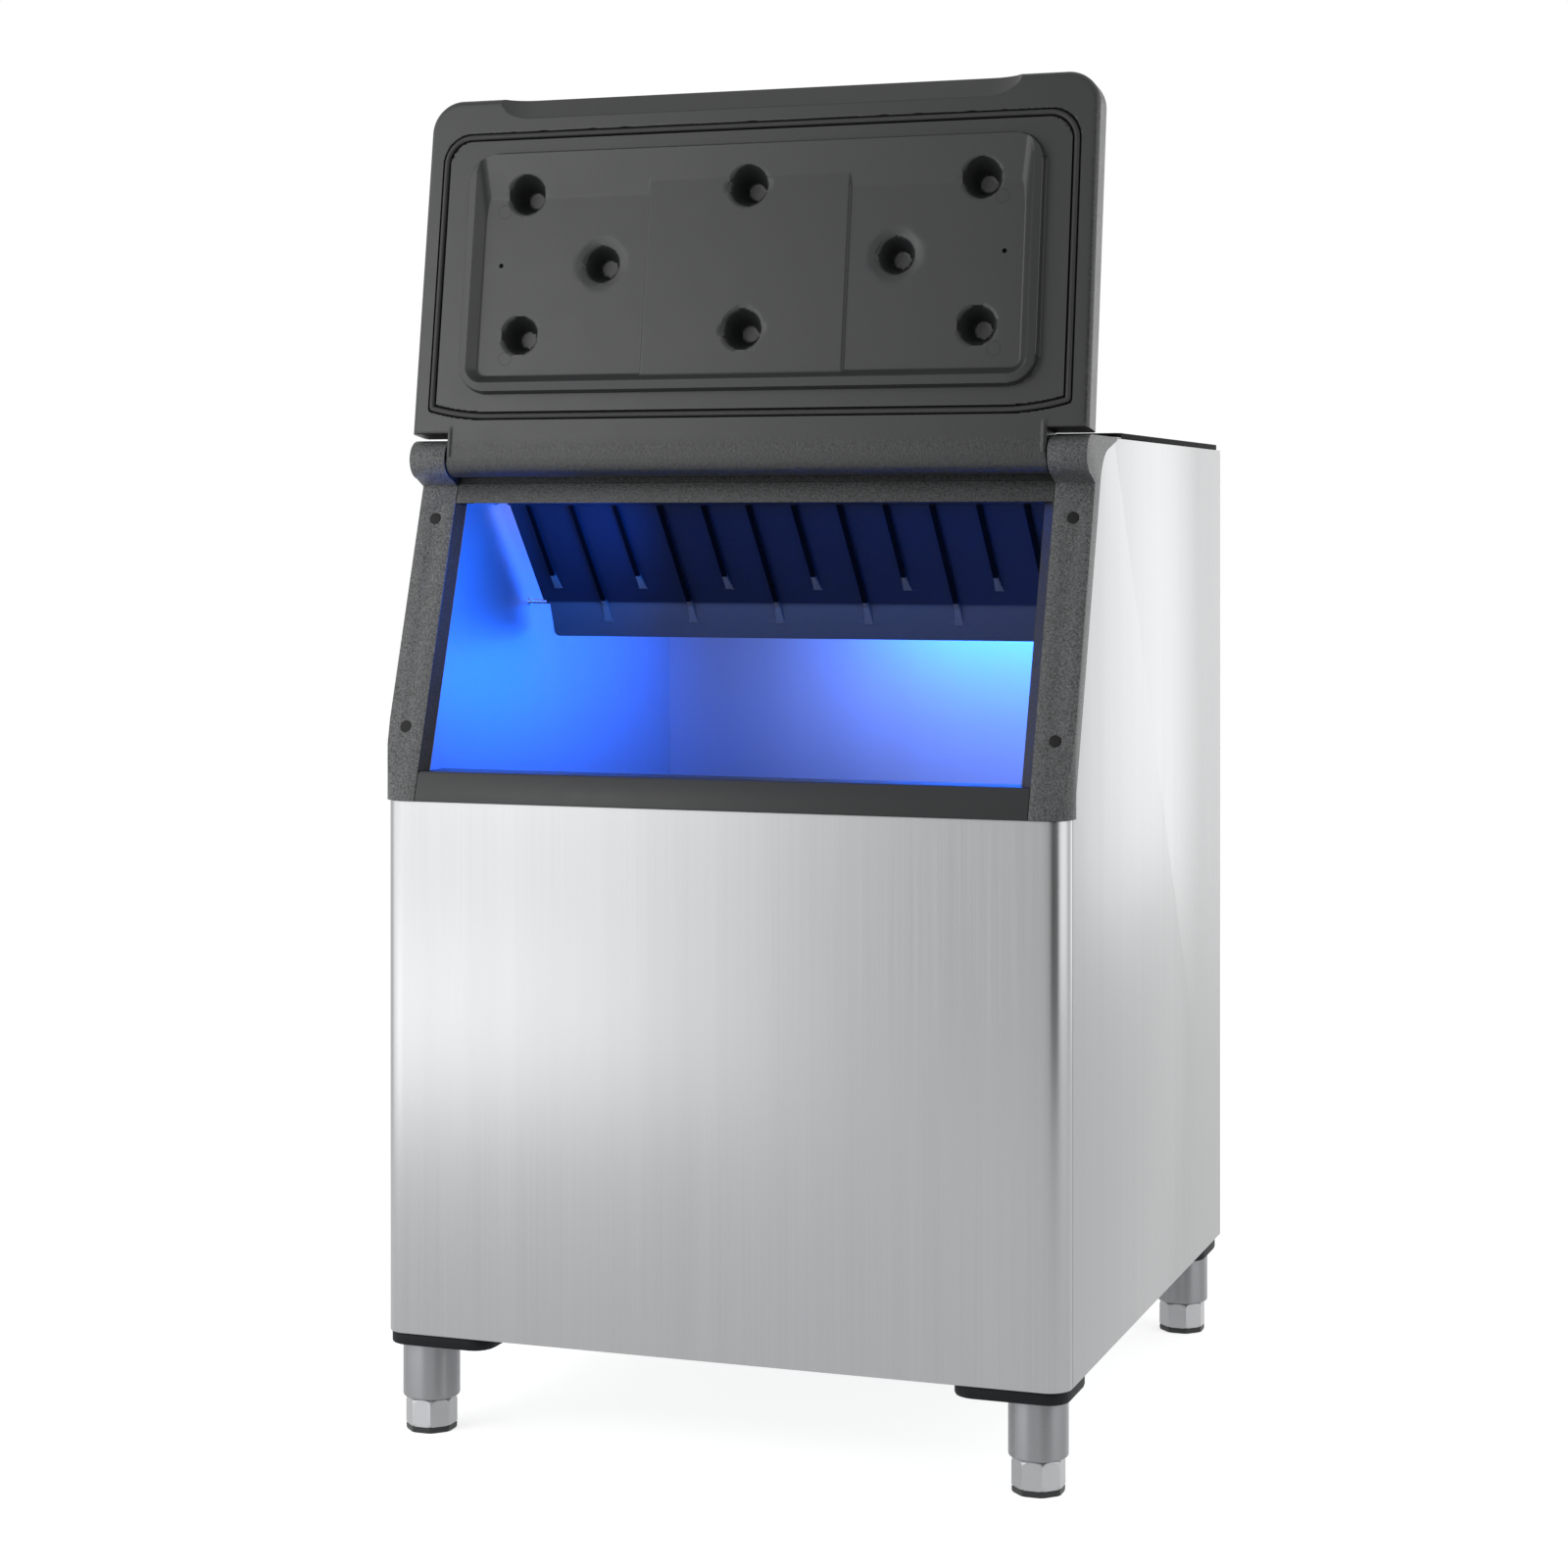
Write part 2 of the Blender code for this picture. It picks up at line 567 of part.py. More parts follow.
def build_insulation():
    """Rigid foam between the steel and the liner, a slab to each wall."""
    low_z = PANEL_BOTTOM_Z + SHEET + GAP
    floor_z = LINER_FLOOR_Z - LINER_SHEET
    back = BACK_Y - SHEET - GAP
    front_back = LINER_FRONT_Y - LINER_SHEET - GAP
    side_front = LINER_FRONT_Y + GAP
    side_back = LINER_BACK_Y + LINER_SHEET
    high_z = SIDE_TOP_Z - GAP
    inset = SHEET + GAP
    floor = plan_solid("foam_floor", [clipped_plan(inset, FRONT_Y, back)], low_z, floor_z - GAP, FOAM)
    plan_solid("foam_front", [clipped_plan(inset, FRONT_Y, front_back)], floor_z, FRONT_TOP_Z, FOAM)
    box("foam_back", (-INNER_X, side_back + GAP, floor_z), (INNER_X, back, high_z), FOAM)
    edge = [(y, z) for y, z in cheek_back_edge(2 * GAP) if y > side_front]
    lowest_y, lowest_z = edge[0]
    slope_z = lowest_z - (lowest_y - side_front) / math.tan(SLANT)
    outline = ([(side_front, floor_z), (side_front, slope_z)] + edge
               + [(CHEEK_BACK_Y + GAP, high_z), (side_back, high_z), (side_back, floor_z)])
    for name, sign in (("foam_left", -1), ("foam_right", 1)):
        span = sorted((sign * (WALL_X + GAP), sign * INNER_X))
        side_solid(name, outline, *span, FOAM)

    low = HEADER_FLOOR_Z + LINER_SHEET + GAP
    high = CHEEK_TOP_Z - BAR_DECK - GAP
    header = [(mouth_y(low) + BAR_WALL + GAP, low), (HEADER_BACK_Y - LINER_SHEET - GAP, low),
              (HEADER_BACK_Y - LINER_SHEET - GAP, high), (mouth_y(high) + BAR_WALL + GAP, high)]
    header_x = LINER_HALF_WIDTH - GAP
    side_solid("foam_header", header, -header_x, header_x, FOAM)
    return floor


def build_rim():
    """Plastic rim round the top opening, which carries an ice machine."""
    outer_x = HALF_WIDTH - RIM_INSET
    front = FRONT_Y + RIM_FRONT_SETBACK
    back = BACK_Y - RIM_BACK_INSET
    outer = rounded_box(-outer_x, outer_x, front, back, RIM_CORNER_RADIUS)
    inner = rounded_box(-LINER_HALF_WIDTH, LINER_HALF_WIDTH, front + RIM_FRONT_WIDTH, LINER_BACK_Y,
                        RIM_CORNER_RADIUS)
    low_z = SIDE_TOP_Z + GAP
    plan_solid("top_rim", [outer, inner], low_z, low_z + RIM_HEIGHT, SMOOTH_PLASTIC)


def build_frame():
    """Frame of the mouth: two cheeks with hinge ears, a bar above and a sill below."""
    ear = arc((AXIS_Y, AXIS_Z), EAR_RADIUS, math.pi / 2, EAR_NECK_ANGLE, 2 * FINE_STEPS)
    cheek = ([(mouth_y(SILL_BOTTOM_Z), SILL_BOTTOM_Z)] + cheek_back_edge()
             + [(CHEEK_BACK_Y, CHEEK_TOP_Z)] + ear + [(mouth_y(EAR_NECK_Z), EAR_NECK_Z)])
    plan = outer_plan(-FRAME_SIDE_PROUD)
    envelope = plan_solid("frame_envelope", [plan], SILL_BOTTOM_Z - OVERRUN, CHEEK_TOP_Z + OVERRUN, None,
                          collection=CUTTERS)
    for name, sign in (("cheek_left", -1), ("cheek_right", 1)):
        inner = sign * MOUTH_HALF_WIDTH
        span = sorted((inner, sign * CHEEK_OUTER_X))
        piece = side_solid(name, cheek, *span, GRAINED)
        boolean(piece, envelope, "INTERSECT")
        rings = [reveal_ring(sign, SILL_TOP_Z + GAP), reveal_ring(sign, BAR_BOTTOM_Z - GAP)]
        boolean(piece, loft(name + "_reveal", rings, None, collection=CUTTERS), "UNION")
        axle = turned(name + "_bore", bore_profile(PIN_RADIUS + RUNNING_GAP, PIN_IN_EAR + OVERRUN), None,
                      (inner + sign * (PIN_IN_EAR - OVERRUN) / 2, AXIS_Y, AXIS_Z), (0, math.pi / 2, 0),
                      collection=CUTTERS)
        boolean(piece, axle)
        smooth(piece)
        for place, height in (("upper", CAP_HIGH_Z), ("lower", CAP_LOW_Z)):
            cap_name = "screw_cap_" + name.split("_")[1] + "_" + place
            build_screw_cap(cap_name, piece, sign * (CHEEK_OUTER_X - CAP_INSET), height)

    frame_x = MOUTH_HALF_WIDTH - GAP
    step_y = BAR_STEP / math.cos(SLANT)
    under_z = CHEEK_TOP_Z - BAR_DECK
    bar = [(mouth_y(BAR_BOTTOM_Z), BAR_BOTTOM_Z), (mouth_y(BAR_BOTTOM_Z) + BAR_WALL, BAR_BOTTOM_Z),
           (mouth_y(under_z) + BAR_WALL, under_z), (CHEEK_BACK_Y, under_z), (CHEEK_BACK_Y, CHEEK_TOP_Z),
           (mouth_y(CHEEK_TOP_Z) + step_y, CHEEK_TOP_Z), (mouth_y(BAR_STEP_Z) + step_y, BAR_STEP_Z),
           (mouth_y(BAR_STEP_Z), BAR_STEP_Z)]
    side_solid("top_bar", bar, -frame_x, frame_x, GRAINED)

    round_y = mouth_y(SILL_TOP_Z) + SILL_EDGE_RADIUS
    round_z = SILL_TOP_Z - SILL_EDGE_RADIUS
    nose = arc((round_y, round_z), SILL_EDGE_RADIUS, math.pi / 2, math.pi - SLANT / 2, CORNER_STEPS)
    sill = [(mouth_y(SILL_BOTTOM_Z), SILL_BOTTOM_Z), (LINER_FRONT_Y, SILL_BOTTOM_Z),
            (LINER_FRONT_Y, SILL_TOP_Z), *nose[:-1], (mouth_y(round_z), round_z)]
    sill_x = min(frame_x, HALF_WIDTH - FRONT_CORNER_RADIUS)
    side_solid("sill", sill, -sill_x, sill_x, SMOOTH_PLASTIC)


def reveal_ring(sign, z):
    """Section of the short reveal at a height, which draws in from a cheek to the liner's front edge."""
    inner = sign * MOUTH_HALF_WIDTH
    root = inner + sign * JOIN_DEPTH
    front = mouth_y(z) + JOIN_DEPTH
    back = mouth_y(z) + REVEAL_DEPTH - GAP
    return [(root, front, z), (inner, front, z), (inner - sign * REVEAL_INSET, back, z), (root, back, z)]


def bore_profile(radius, length):
    """Profile of a plain cylinder, middle at its origin, down its outer side."""
    return [(0, length / 2), (radius, length / 2), (radius, -length / 2), (0, -length / 2)]


def build_screw_cap(name, cheek, x, z):
    """Round cap over a fixing screw, let into the cheek's slanted face."""
    turn = (math.pi / 2 - SLANT, 0, 0)
    place = Vector((x, mouth_y(z), z))
    seat = turned(name + "_seat", bore_profile(CAP_RADIUS + GAP, 2 * (CAP_HEIGHT + GAP)), None, place, turn,
                  collection=CUTTERS)
    boolean(cheek, seat)
    inward = Vector((0, math.cos(SLANT), -math.sin(SLANT)))
    proud = CAP_HEIGHT * CAP_PROUD_SHARE
    turned(name, bore_profile(CAP_RADIUS, CAP_HEIGHT), SMOOTH_PLASTIC,
           place + inward * (CAP_HEIGHT / 2 - proud), turn)


def build_hinge():
    """Empty on the lid's axis, and a pin from each ear into the lid."""
    axis = bpy_objects.new("lid_axis", None)
    PARTS.objects.link(axis)
    axis.location = (0, AXIS_Y, AXIS_Z)
    axis.rotation_euler = (-LID_LEAN, 0, 0)
    length = PIN_IN_EAR + PIN_IN_LID + TONGUE_SIDE_GAP - GAP
    for name, sign in (("hinge_pin_left", -1), ("hinge_pin_right", 1)):
        outer = MOUTH_HALF_WIDTH + PIN_IN_EAR - GAP
        turned(name, bore_profile(PIN_RADIUS, length), TURNED_STEEL,
               (sign * (outer - length / 2), AXIS_Y, AXIS_Z), (0, math.pi / 2, 0))
    return axis


def lid_ring(left, right, low, high, radius, level):
    """Round-cornered ring on the lid, at a depth below its inner face."""
    y = -LID_FACE_OFFSET + level
    return [(x, y, z) for x, z in rounded_box(left, right, low, high, radius)]


def kiss_places():
    """Places of the conical recesses: X and distance from the hinge axis."""
    outer = KISS_OUTER_SHARE * CHEEK_OUTER_X
    inner = KISS_INNER_SHARE * CHEEK_OUTER_X
    places = [(x, reach) for x in (-outer, 0, outer) for reach in (KISS_LOW, KISS_HIGH)]
    return places + [(-inner, KISS_MIDDLE), (inner, KISS_MIDDLE)]


def seal_path():
    """Closed run of the seal: X and distance from the hinge axis, with a lower run that climbs."""
    half = SEAL_HALF_WIDTH
    radius = SEAL_CORNER_RADIUS
    quarter = math.pi / 2
    top = (arc((half - radius, SEAL_HIGH - radius), radius, 0, quarter, CORNER_STEPS)
           + arc((radius - half, SEAL_HIGH - radius), radius, quarter, 2 * quarter, CORNER_STEPS))
    climb = []
    for step in range(FINE_STEPS + 1):
        share = 1 - step / FINE_STEPS
        climb.append((-(half - SEAL_RISE_LENGTH * (1 - share)), SEAL_LOW + SEAL_RISE * share ** 2))
    other = [(-x, reach) for x, reach in reversed(climb)]
    return top + climb + other


def bead(name, radius, look, parent, collection=PARTS):
    """Round bead along the seal's run."""
    curve = bpy.data.curves.new(name, "CURVE")
    curve.dimensions = "3D"
    curve.bevel_depth = radius
    curve.bevel_resolution = 1
    path = seal_path()
    spline = curve.splines.new("POLY")
    spline.points.add(len(path) - 1)
    for point, (x, reach) in zip(spline.points, path):
        point.co = (x, -LID_FACE_OFFSET + SEAL_SINK, reach, 1)
    spline.use_cyclic_u = True
    drawn = bpy_objects.new(name + "_run", curve)
    PARTS.objects.link(drawn)
    drawn.parent = parent
    return curve_to_mesh(drawn, name, look, parent, collection)


def lid_outline():
    """Lid seen from its inner face: a slab with round far corners."""
    half = CHEEK_OUTER_X
    radius = LID_CORNER_RADIUS
    quarter = math.pi / 2
    return ([(-half, NOTCH_REACH), (half, NOTCH_REACH)]
            + arc((half - radius, LID_REACH - radius), radius, 0, quarter, FINE_STEPS)
            + arc((radius - half, LID_REACH - radius), radius, quarter, 2 * quarter, FINE_STEPS))


def build_lid(axis):
    """Double-walled moulded lid with its foam core and seal."""
    middle_y = LID_THICKNESS / 2 - LID_FACE_OFFSET
    shell = outline_solid("lid_shell", [lid_outline()], LID_THICKNESS, LID_PLASTIC, (0, middle_y, 0),
                          (math.pi / 2, 0, 0), axis)
    merge_flats(shell)
    edge = shell.modifiers.new("Edge", "BEVEL")
    edge.width = LID_EDGE_RADIUS
    edge.segments = 3
    edge.limit_method = "ANGLE"
    edge.angle_limit = BEVEL_ANGLE

    knuckle = arc((0, 0), LID_FACE_OFFSET, math.pi, 2 * math.pi, 2 * FINE_STEPS)
    tongue = knuckle + [(LID_OUTER_OFFSET, 0), (LID_OUTER_OFFSET, NOTCH_REACH + LID_EDGE_RADIUS),
                        (-LID_FACE_OFFSET, NOTCH_REACH + LID_EDGE_RADIUS)]
    tongue_piece = side_solid("lid_tongue", tongue, -TONGUE_HALF_WIDTH, TONGUE_HALF_WIDTH, None, axis,
                              CUTTERS)
    boolean(shell, tongue_piece, "UNION")

    half = RING_HALF_WIDTH
    ridge_half = half - RING_BAND
    ridge_low = RING_LOW + RING_BAND
    ridge_radius = RING_CORNER_RADIUS - RING_BAND
    ring = loft("lid_ring", [
        lid_ring(-half, half, RING_LOW, RING_HIGH, RING_CORNER_RADIUS, JOIN_DEPTH),
        lid_ring(-half, half, RING_LOW, RING_HIGH, RING_CORNER_RADIUS, -RING_HEIGHT),
        lid_ring(-ridge_half, ridge_half, ridge_low, RING_HIGH - RING_BAND, ridge_radius, -RIDGE_HEIGHT),
    ], None, axis, CUTTERS)
    boolean(shell, ring, "UNION")
    ramp_end = PAD_HIGH + (RING_HIGH - PAD_HIGH) * RIDGE_HEIGHT / RAMP_HEIGHT
    basin = loft("lid_basin", [
        lid_ring(-ridge_half, ridge_half, ridge_low, ramp_end, ridge_radius, -RIDGE_HEIGHT - OVERRUN),
        lid_ring(-ridge_half, ridge_half, ridge_low, ramp_end, ridge_radius, -RIDGE_HEIGHT),
        lid_ring(-PAD_HALF_WIDTH, PAD_HALF_WIDTH, PAD_LOW, PAD_HIGH, PAD_CORNER_RADIUS, 0),
    ], None, axis, CUTTERS)
    boolean(shell, basin)
    ramp_run = (RING_HIGH - PAD_HIGH) * PANEL_HEIGHT / RAMP_HEIGHT
    panel = box("lid_panel", (-PANEL_HALF_WIDTH, -LID_FACE_OFFSET - PANEL_HEIGHT, ridge_low),
                (PANEL_HALF_WIDTH, -LID_FACE_OFFSET + JOIN_DEPTH, PAD_HIGH + ramp_run + JOIN_DEPTH),
                None, axis, CUTTERS)
    boolean(shell, panel, "UNION")

    grip = loft("lid_grip", grip_rings(), None, axis, CUTTERS)
    boolean(shell, grip)
    boolean(shell, bead("lid_groove", GROOVE_RADIUS, None, axis, CUTTERS))
    for sign in (-1, 1):
        centre = sign * (TONGUE_HALF_WIDTH - PIN_IN_LID / 2 + OVERRUN / 2)
        bore = turned("lid_bore", bore_profile(PIN_RADIUS + RUNNING_GAP, PIN_IN_LID + OVERRUN), None,
                      (centre, 0, 0), (0, math.pi / 2, 0), parent=axis, collection=CUTTERS)
        boolean(shell, bore)

    cavity = cavity_solid("lid_cavity", 0, None, axis, CUTTERS)
    boolean(shell, cavity)
    vent_x = VENT_SHARE * CHEEK_OUTER_X
    vent_length = LID_FACE_WALL + OVERRUN
    for sign in (-1, 1):
        vent = turned("lid_vent", bore_profile(VENT_RADIUS, 2 * vent_length), None,
                      (sign * vent_x, -LID_FACE_OFFSET, KISS_MIDDLE), (math.pi / 2, 0, 0), sides=OCTAGON,
                      parent=axis, collection=CUTTERS)
        boolean(shell, vent)
    for x, reach in kiss_places():
        boolean(shell, kiss_cone(x, reach, 0, axis))
    smooth(shell)

    cavity_solid("lid_core", GAP, FOAM, axis, PARTS)
    bead("lid_seal", SEAL_RADIUS, RUBBER, axis)


def grip_rings():
    """Rings of the finger grip's cutter, which deepens towards the lid's far edge."""
    low = LID_REACH - GRIP_HEIGHT
    high = LID_REACH + OVERRUN
    slope = GRIP_DEPTH / GRIP_HEIGHT
    plan = rounded_box(-GRIP_HALF_WIDTH, GRIP_HALF_WIDTH, low, high + GRIP_CORNER_RADIUS, GRIP_CORNER_RADIUS)
    outer = [(x, -LID_FACE_OFFSET - OVERRUN, z) for x, z in plan]
    inner = [(x, -LID_FACE_OFFSET + (z - low) * slope, z) for x, z in plan]
    return [outer, inner]


def kiss_cone(x, reach, wall, axis):
    """Cone of a recess, or of the post of skin round it where a wall is given."""
    floor = KISS_FLOOR_RADIUS + wall
    mouth = KISS_TOP_RADIUS + wall
    if wall:
        profile = [(0, KISS_DEPTH), (mouth, KISS_DEPTH), (floor, 0), (floor, -LID_THICKNESS),
                   (0, -LID_THICKNESS)]
    else:
        flare = (KISS_TOP_RADIUS - KISS_FLOOR_RADIUS) * OVERRUN / KISS_DEPTH
        profile = [(0, KISS_DEPTH + OVERRUN), (mouth + flare, KISS_DEPTH + OVERRUN), (floor, 0), (0, 0)]
    return turned("lid_kiss", profile, None, (x, -LID_FACE_OFFSET + KISS_DEPTH, reach), (math.pi / 2, 0, 0),
                  sides=2 * OCTAGON, parent=axis, collection=CUTTERS)


def cavity_solid(name, shrink, look, axis, collection):
    """Space inside the lid's walls, or the foam core that fills it where it is shrunk."""
    near = -LID_FACE_OFFSET + LID_FACE_WALL + shrink
    far = LID_OUTER_OFFSET - LID_WALL - shrink
    margin = CAVITY_MARGIN + shrink
    half = CHEEK_OUTER_X - margin
    low = CAVITY_LOW + shrink
    high = LID_REACH - GRIP_HEIGHT - LID_WALL - shrink
    made = outline_solid(name, [rounded_box(-half, half, low, high, LID_CORNER_RADIUS - margin)],
                         far - near, look, (0, (near + far) / 2, 0), (math.pi / 2, 0, 0), axis, collection)
    for x, reach in kiss_places():
        boolean(made, kiss_cone(x, reach, CORE_POST_WALL + shrink, axis))
    return made


def build_baffle():
    """Ribbed baffle that hangs on two pins and rests on two studs, clear of the liner's sides."""
    axis = bpy_objects.new("baffle_axis", None)
    PARTS.objects.link(axis)
    axis.location = (0, BAFFLE_AXIS_Y, BAFFLE_AXIS_Z)
    half_sheet = BAFFLE_SHEET / 2
    down = Vector((math.sin(BAFFLE_LEAN), -math.cos(BAFFLE_LEAN)))
    back = Vector((math.cos(BAFFLE_LEAN), math.sin(BAFFLE_LEAN)))
    lip_down = Vector((math.sin(LIP_LEAN), -math.cos(LIP_LEAN)))
    lip_back = Vector((math.cos(LIP_LEAN), math.sin(LIP_LEAN)))
    bend = down * BAFFLE_LENGTH
    tip = bend + lip_down * LIP_LENGTH
    opening = math.asin(half_sheet / BAFFLE_BARREL_RADIUS)
    mid = down.angle_signed(Vector((1, 0)))
    barrel = arc((0, 0), BAFFLE_BARREL_RADIUS, mid + opening, mid + 2 * math.pi - opening, 2 * FINE_STEPS)
    mitre_back = bend + (back + lip_back).normalized() * half_sheet
    mitre_front = bend - (back + lip_back).normalized() * half_sheet
    profile = barrel + [tuple(mitre_front), tuple(tip - lip_back * half_sheet),
                        tuple(tip + lip_back * half_sheet), tuple(mitre_back)]
    plate = side_solid("baffle", profile, -BAFFLE_HALF_WIDTH, BAFFLE_HALF_WIDTH, BAFFLE_PLASTIC, axis)

    ribs = []
    for index in range(RIB_COUNT):
        x = (index - (RIB_COUNT - 1) / 2) * RIB_SPACING
        ribs.append(build_rib(index, x, index % 2 == 1, axis, down, back, lip_down, lip_back, bend))
    for rib in ribs:
        boolean(plate, rib, "UNION")

    for sign in (-1, 1):
        inner, outer = BAFFLE_LIP_HALF_WIDTH, BAFFLE_HALF_WIDTH + OVERRUN
        low_z = tip.y - OVERRUN
        span = sorted((sign * inner, sign * outer))
        notch = box("baffle_notch", (span[0], 0, low_z), (span[1], tip.x + OVERRUN, bend.y), None, axis,
                    CUTTERS)
        boolean(plate, notch)
        round_bore = bore_profile(BAFFLE_PIN_RADIUS + RUNNING_GAP, BAFFLE_PIN_LENGTH + OVERRUN)
        middle_x = sign * (BAFFLE_HALF_WIDTH - (BAFFLE_PIN_LENGTH - OVERRUN) / 2)
        bore = turned("baffle_bore", round_bore, None, (middle_x, 0, 0), (0, math.pi / 2, 0),
                      sides=2 * OCTAGON, parent=axis, collection=CUTTERS)
        boolean(plate, bore)
    smooth(plate)

    seat = LINER_HALF_WIDTH - GAP
    rest = down * BAFFLE_LENGTH * REST_UP_SHARE - back * (half_sheet + GAP + REST_RADIUS)
    studs = (("baffle_pin", BAFFLE_PIN_RADIUS, BAFFLE_HALF_WIDTH - BAFFLE_PIN_LENGTH + GAP, Vector((0, 0))),
             ("baffle_rest", REST_RADIUS, BAFFLE_HALF_WIDTH - REST_REACH, rest))
    for name, radius, inner, offset in studs:
        for side, sign in (("left", -1), ("right", 1)):
            length = seat - inner
            profile = [(0, length), (REST_HEAD_RADIUS, length), (REST_HEAD_RADIUS, length - REST_HEAD),
                       (radius, length - REST_HEAD), (radius, 0), (0, 0)]
            turned(name + "_" + side, profile, TURNED_STEEL,
                   (sign * inner, BAFFLE_AXIS_Y + offset.x, BAFFLE_AXIS_Z + offset.y),
                   (0, sign * math.pi / 2, 0), sides=2 * OCTAGON)


def build_rib(index, x, is_long, axis, down, back, lip_down, lip_back, bend):
    """One rib on the baffle's front, with a foot that tapers out at its lower end."""
    half_sheet = BAFFLE_SHEET / 2
    root = half_sheet - JOIN_DEPTH
    crest = half_sheet + RIB_HEIGHT
    head = down * RIB_START
    if is_long:
        reach = RIB_LONG - BAFFLE_LENGTH
        end = bend + lip_down * reach
        mitre = (back + lip_back).normalized()
        profile = [head - back * root, head - back * crest, bend - mitre * crest, end - lip_back * crest,
                   end + lip_down * RIB_FOOT - lip_back * root, bend - mitre * root]
    else:
        end = down * RIB_SHORT
        profile = [head - back * root, head - back * crest, end - back * crest,
                   end + down * RIB_FOOT - back * root]
    return side_solid("baffle_rib_%02d" % index, [tuple(point) for point in profile],
                      x - RIB_WIDTH / 2, x + RIB_WIDTH / 2, None, axis, CUTTERS)


def build_light():
    """Light under the header, in an aluminium channel behind the top bar."""
    top = HEADER_FLOOR_Z - GAP
    low = top - LED_HEIGHT
    front = mouth_y(top) + BAR_WALL + LED_SETBACK
    wall = LED_WALL
    back = front + LED_WIDTH
    channel = [(front, top), (front, low), (front + wall, low), (front + wall, top - wall),
               (back - wall, top - wall), (back - wall, low), (back, low), (back, top)]
    side_solid("led_channel", channel, -LED_HALF_LENGTH, LED_HALF_LENGTH, CHANNEL)
    inset = wall + GAP
    lens_top = top - inset
    lens_x = LED_HALF_LENGTH - GAP
    bow = arc(((front + back) / 2, low), (LED_WIDTH / 2) - inset, math.pi, 2 * math.pi, FINE_STEPS)
    squash_share = 0.35
    lens = ([(front + inset, lens_top)]
            + [(y, low + (z - low) * squash_share) for y, z in bow]
            + [(back - inset, lens_top)])
    side_solid("led_lens", lens, -lens_x, lens_x, LENS)


def build_drain(base, floor, foam):
    """Drain through the floor: a flanged fitting, its nut below and a slotted strainer above."""
    top = LINER_FLOOR_Z + GAP
    hole_radius = DRAIN_RADIUS + GAP
    hole = turned("drain_hole", [(0, top + OVERRUN), (hole_radius, top + OVERRUN),
                                 (hole_radius, DRAIN_BOTTOM_Z), (0, DRAIN_BOTTOM_Z)], None,
                  (0, DRAIN_Y, 0), collection=CUTTERS)
    for piece in (base, floor, foam):
        boolean(piece, hole)
    flange_top = top + DRAIN_FLANGE
    turned("drain_fitting", [(DRAIN_BORE_RADIUS, flange_top), (DRAIN_FLANGE_RADIUS, flange_top),
                             (DRAIN_FLANGE_RADIUS, top), (DRAIN_RADIUS, top), (DRAIN_RADIUS, DRAIN_BOTTOM_Z),
                             (DRAIN_BORE_RADIUS, DRAIN_BOTTOM_Z), (DRAIN_BORE_RADIUS, flange_top)],
           WHITE_PLASTIC, (0, DRAIN_Y, 0))
    nut_top = PANEL_BOTTOM_Z - GAP
    hexagon = [(NUT_RADIUS * math.cos(turn * math.pi / 3), NUT_RADIUS * math.sin(turn * math.pi / 3))
               for turn in range(6)]
    bore = arc((0, 0), DRAIN_RADIUS + GAP, 0, 2 * math.pi, SIDES)[:-1]
    plan_solid("drain_nut", [hexagon, bore], nut_top - NUT_HEIGHT, nut_top, WHITE_PLASTIC, (0, DRAIN_Y))

    low = flange_top + GAP
    high = low + STRAINER_HEIGHT
    wall = STRAINER_WALL
    shoulder = STRAINER_RADIUS - STRAINER_HEIGHT * STRAINER_SLOPE_SHARE
    dome = [(0, high), (shoulder, high), (STRAINER_RADIUS, low), (STRAINER_RADIUS - wall, low),
            (shoulder - wall, high - wall), (0, high - wall)]
    strainer = turned("drain_strainer", dome, WHITE_PLASTIC, (0, DRAIN_Y, 0))
    slots = bpy.data.meshes.new("strainer_slots")
    cutter = bmesh.new()
    for index in range(STRAINER_SLOTS):
        turn = Matrix.Rotation(index * math.pi * 2 / STRAINER_SLOTS, 4, "Z")
        place = Matrix.Translation((STRAINER_RADIUS, 0, (low + high) / 2 - 2 * wall))
        size = Matrix.Diagonal((4 * STRAINER_SLOT, STRAINER_SLOT, STRAINER_HEIGHT - 2 * wall, 1))
        bmesh.ops.create_cube(cutter, size=1, matrix=turn @ place @ size)
    cutter.to_mesh(slots)
    cutter.free()
    slot_piece = add_object("strainer_slots", slots, None, collection=CUTTERS)
    slot_piece.location = (0, DRAIN_Y, 0)
    boolean(strainer, slot_piece)


def build_legs():
    """Four legs: a plate under the base, a steel tube, an eight-sided screw foot and its sole."""
    tube_mesh = foot_mesh = sole_mesh = None
    for end, y in (("front", LEG_FRONT_Y), ("back", LEG_BACK_Y)):
        for side, sign in (("left", -1), ("right", 1)):
            name = end + "_" + side
            build_leg_plate(name, sign, end == "front")
            place = (sign * LEG_X, y, 0)
            tube_mesh = place_copy("leg_tube_" + name, tube_mesh, leg_tube, place)
            foot_mesh = place_copy("foot_" + name, foot_mesh, screw_foot, place)
            sole_mesh = place_copy("sole_" + name, sole_mesh, foot_sole, place)


def place_copy(name, mesh, make, place):
    """One of several like pieces, which share the first one's mesh."""
    if mesh is None:
        first = make()
        mesh = settle(first)
        bpy_objects.remove(first, do_unlink=True)
    made = bpy_objects.new(name, mesh)
    PARTS.objects.link(made)
    made.location = place
    return mesh


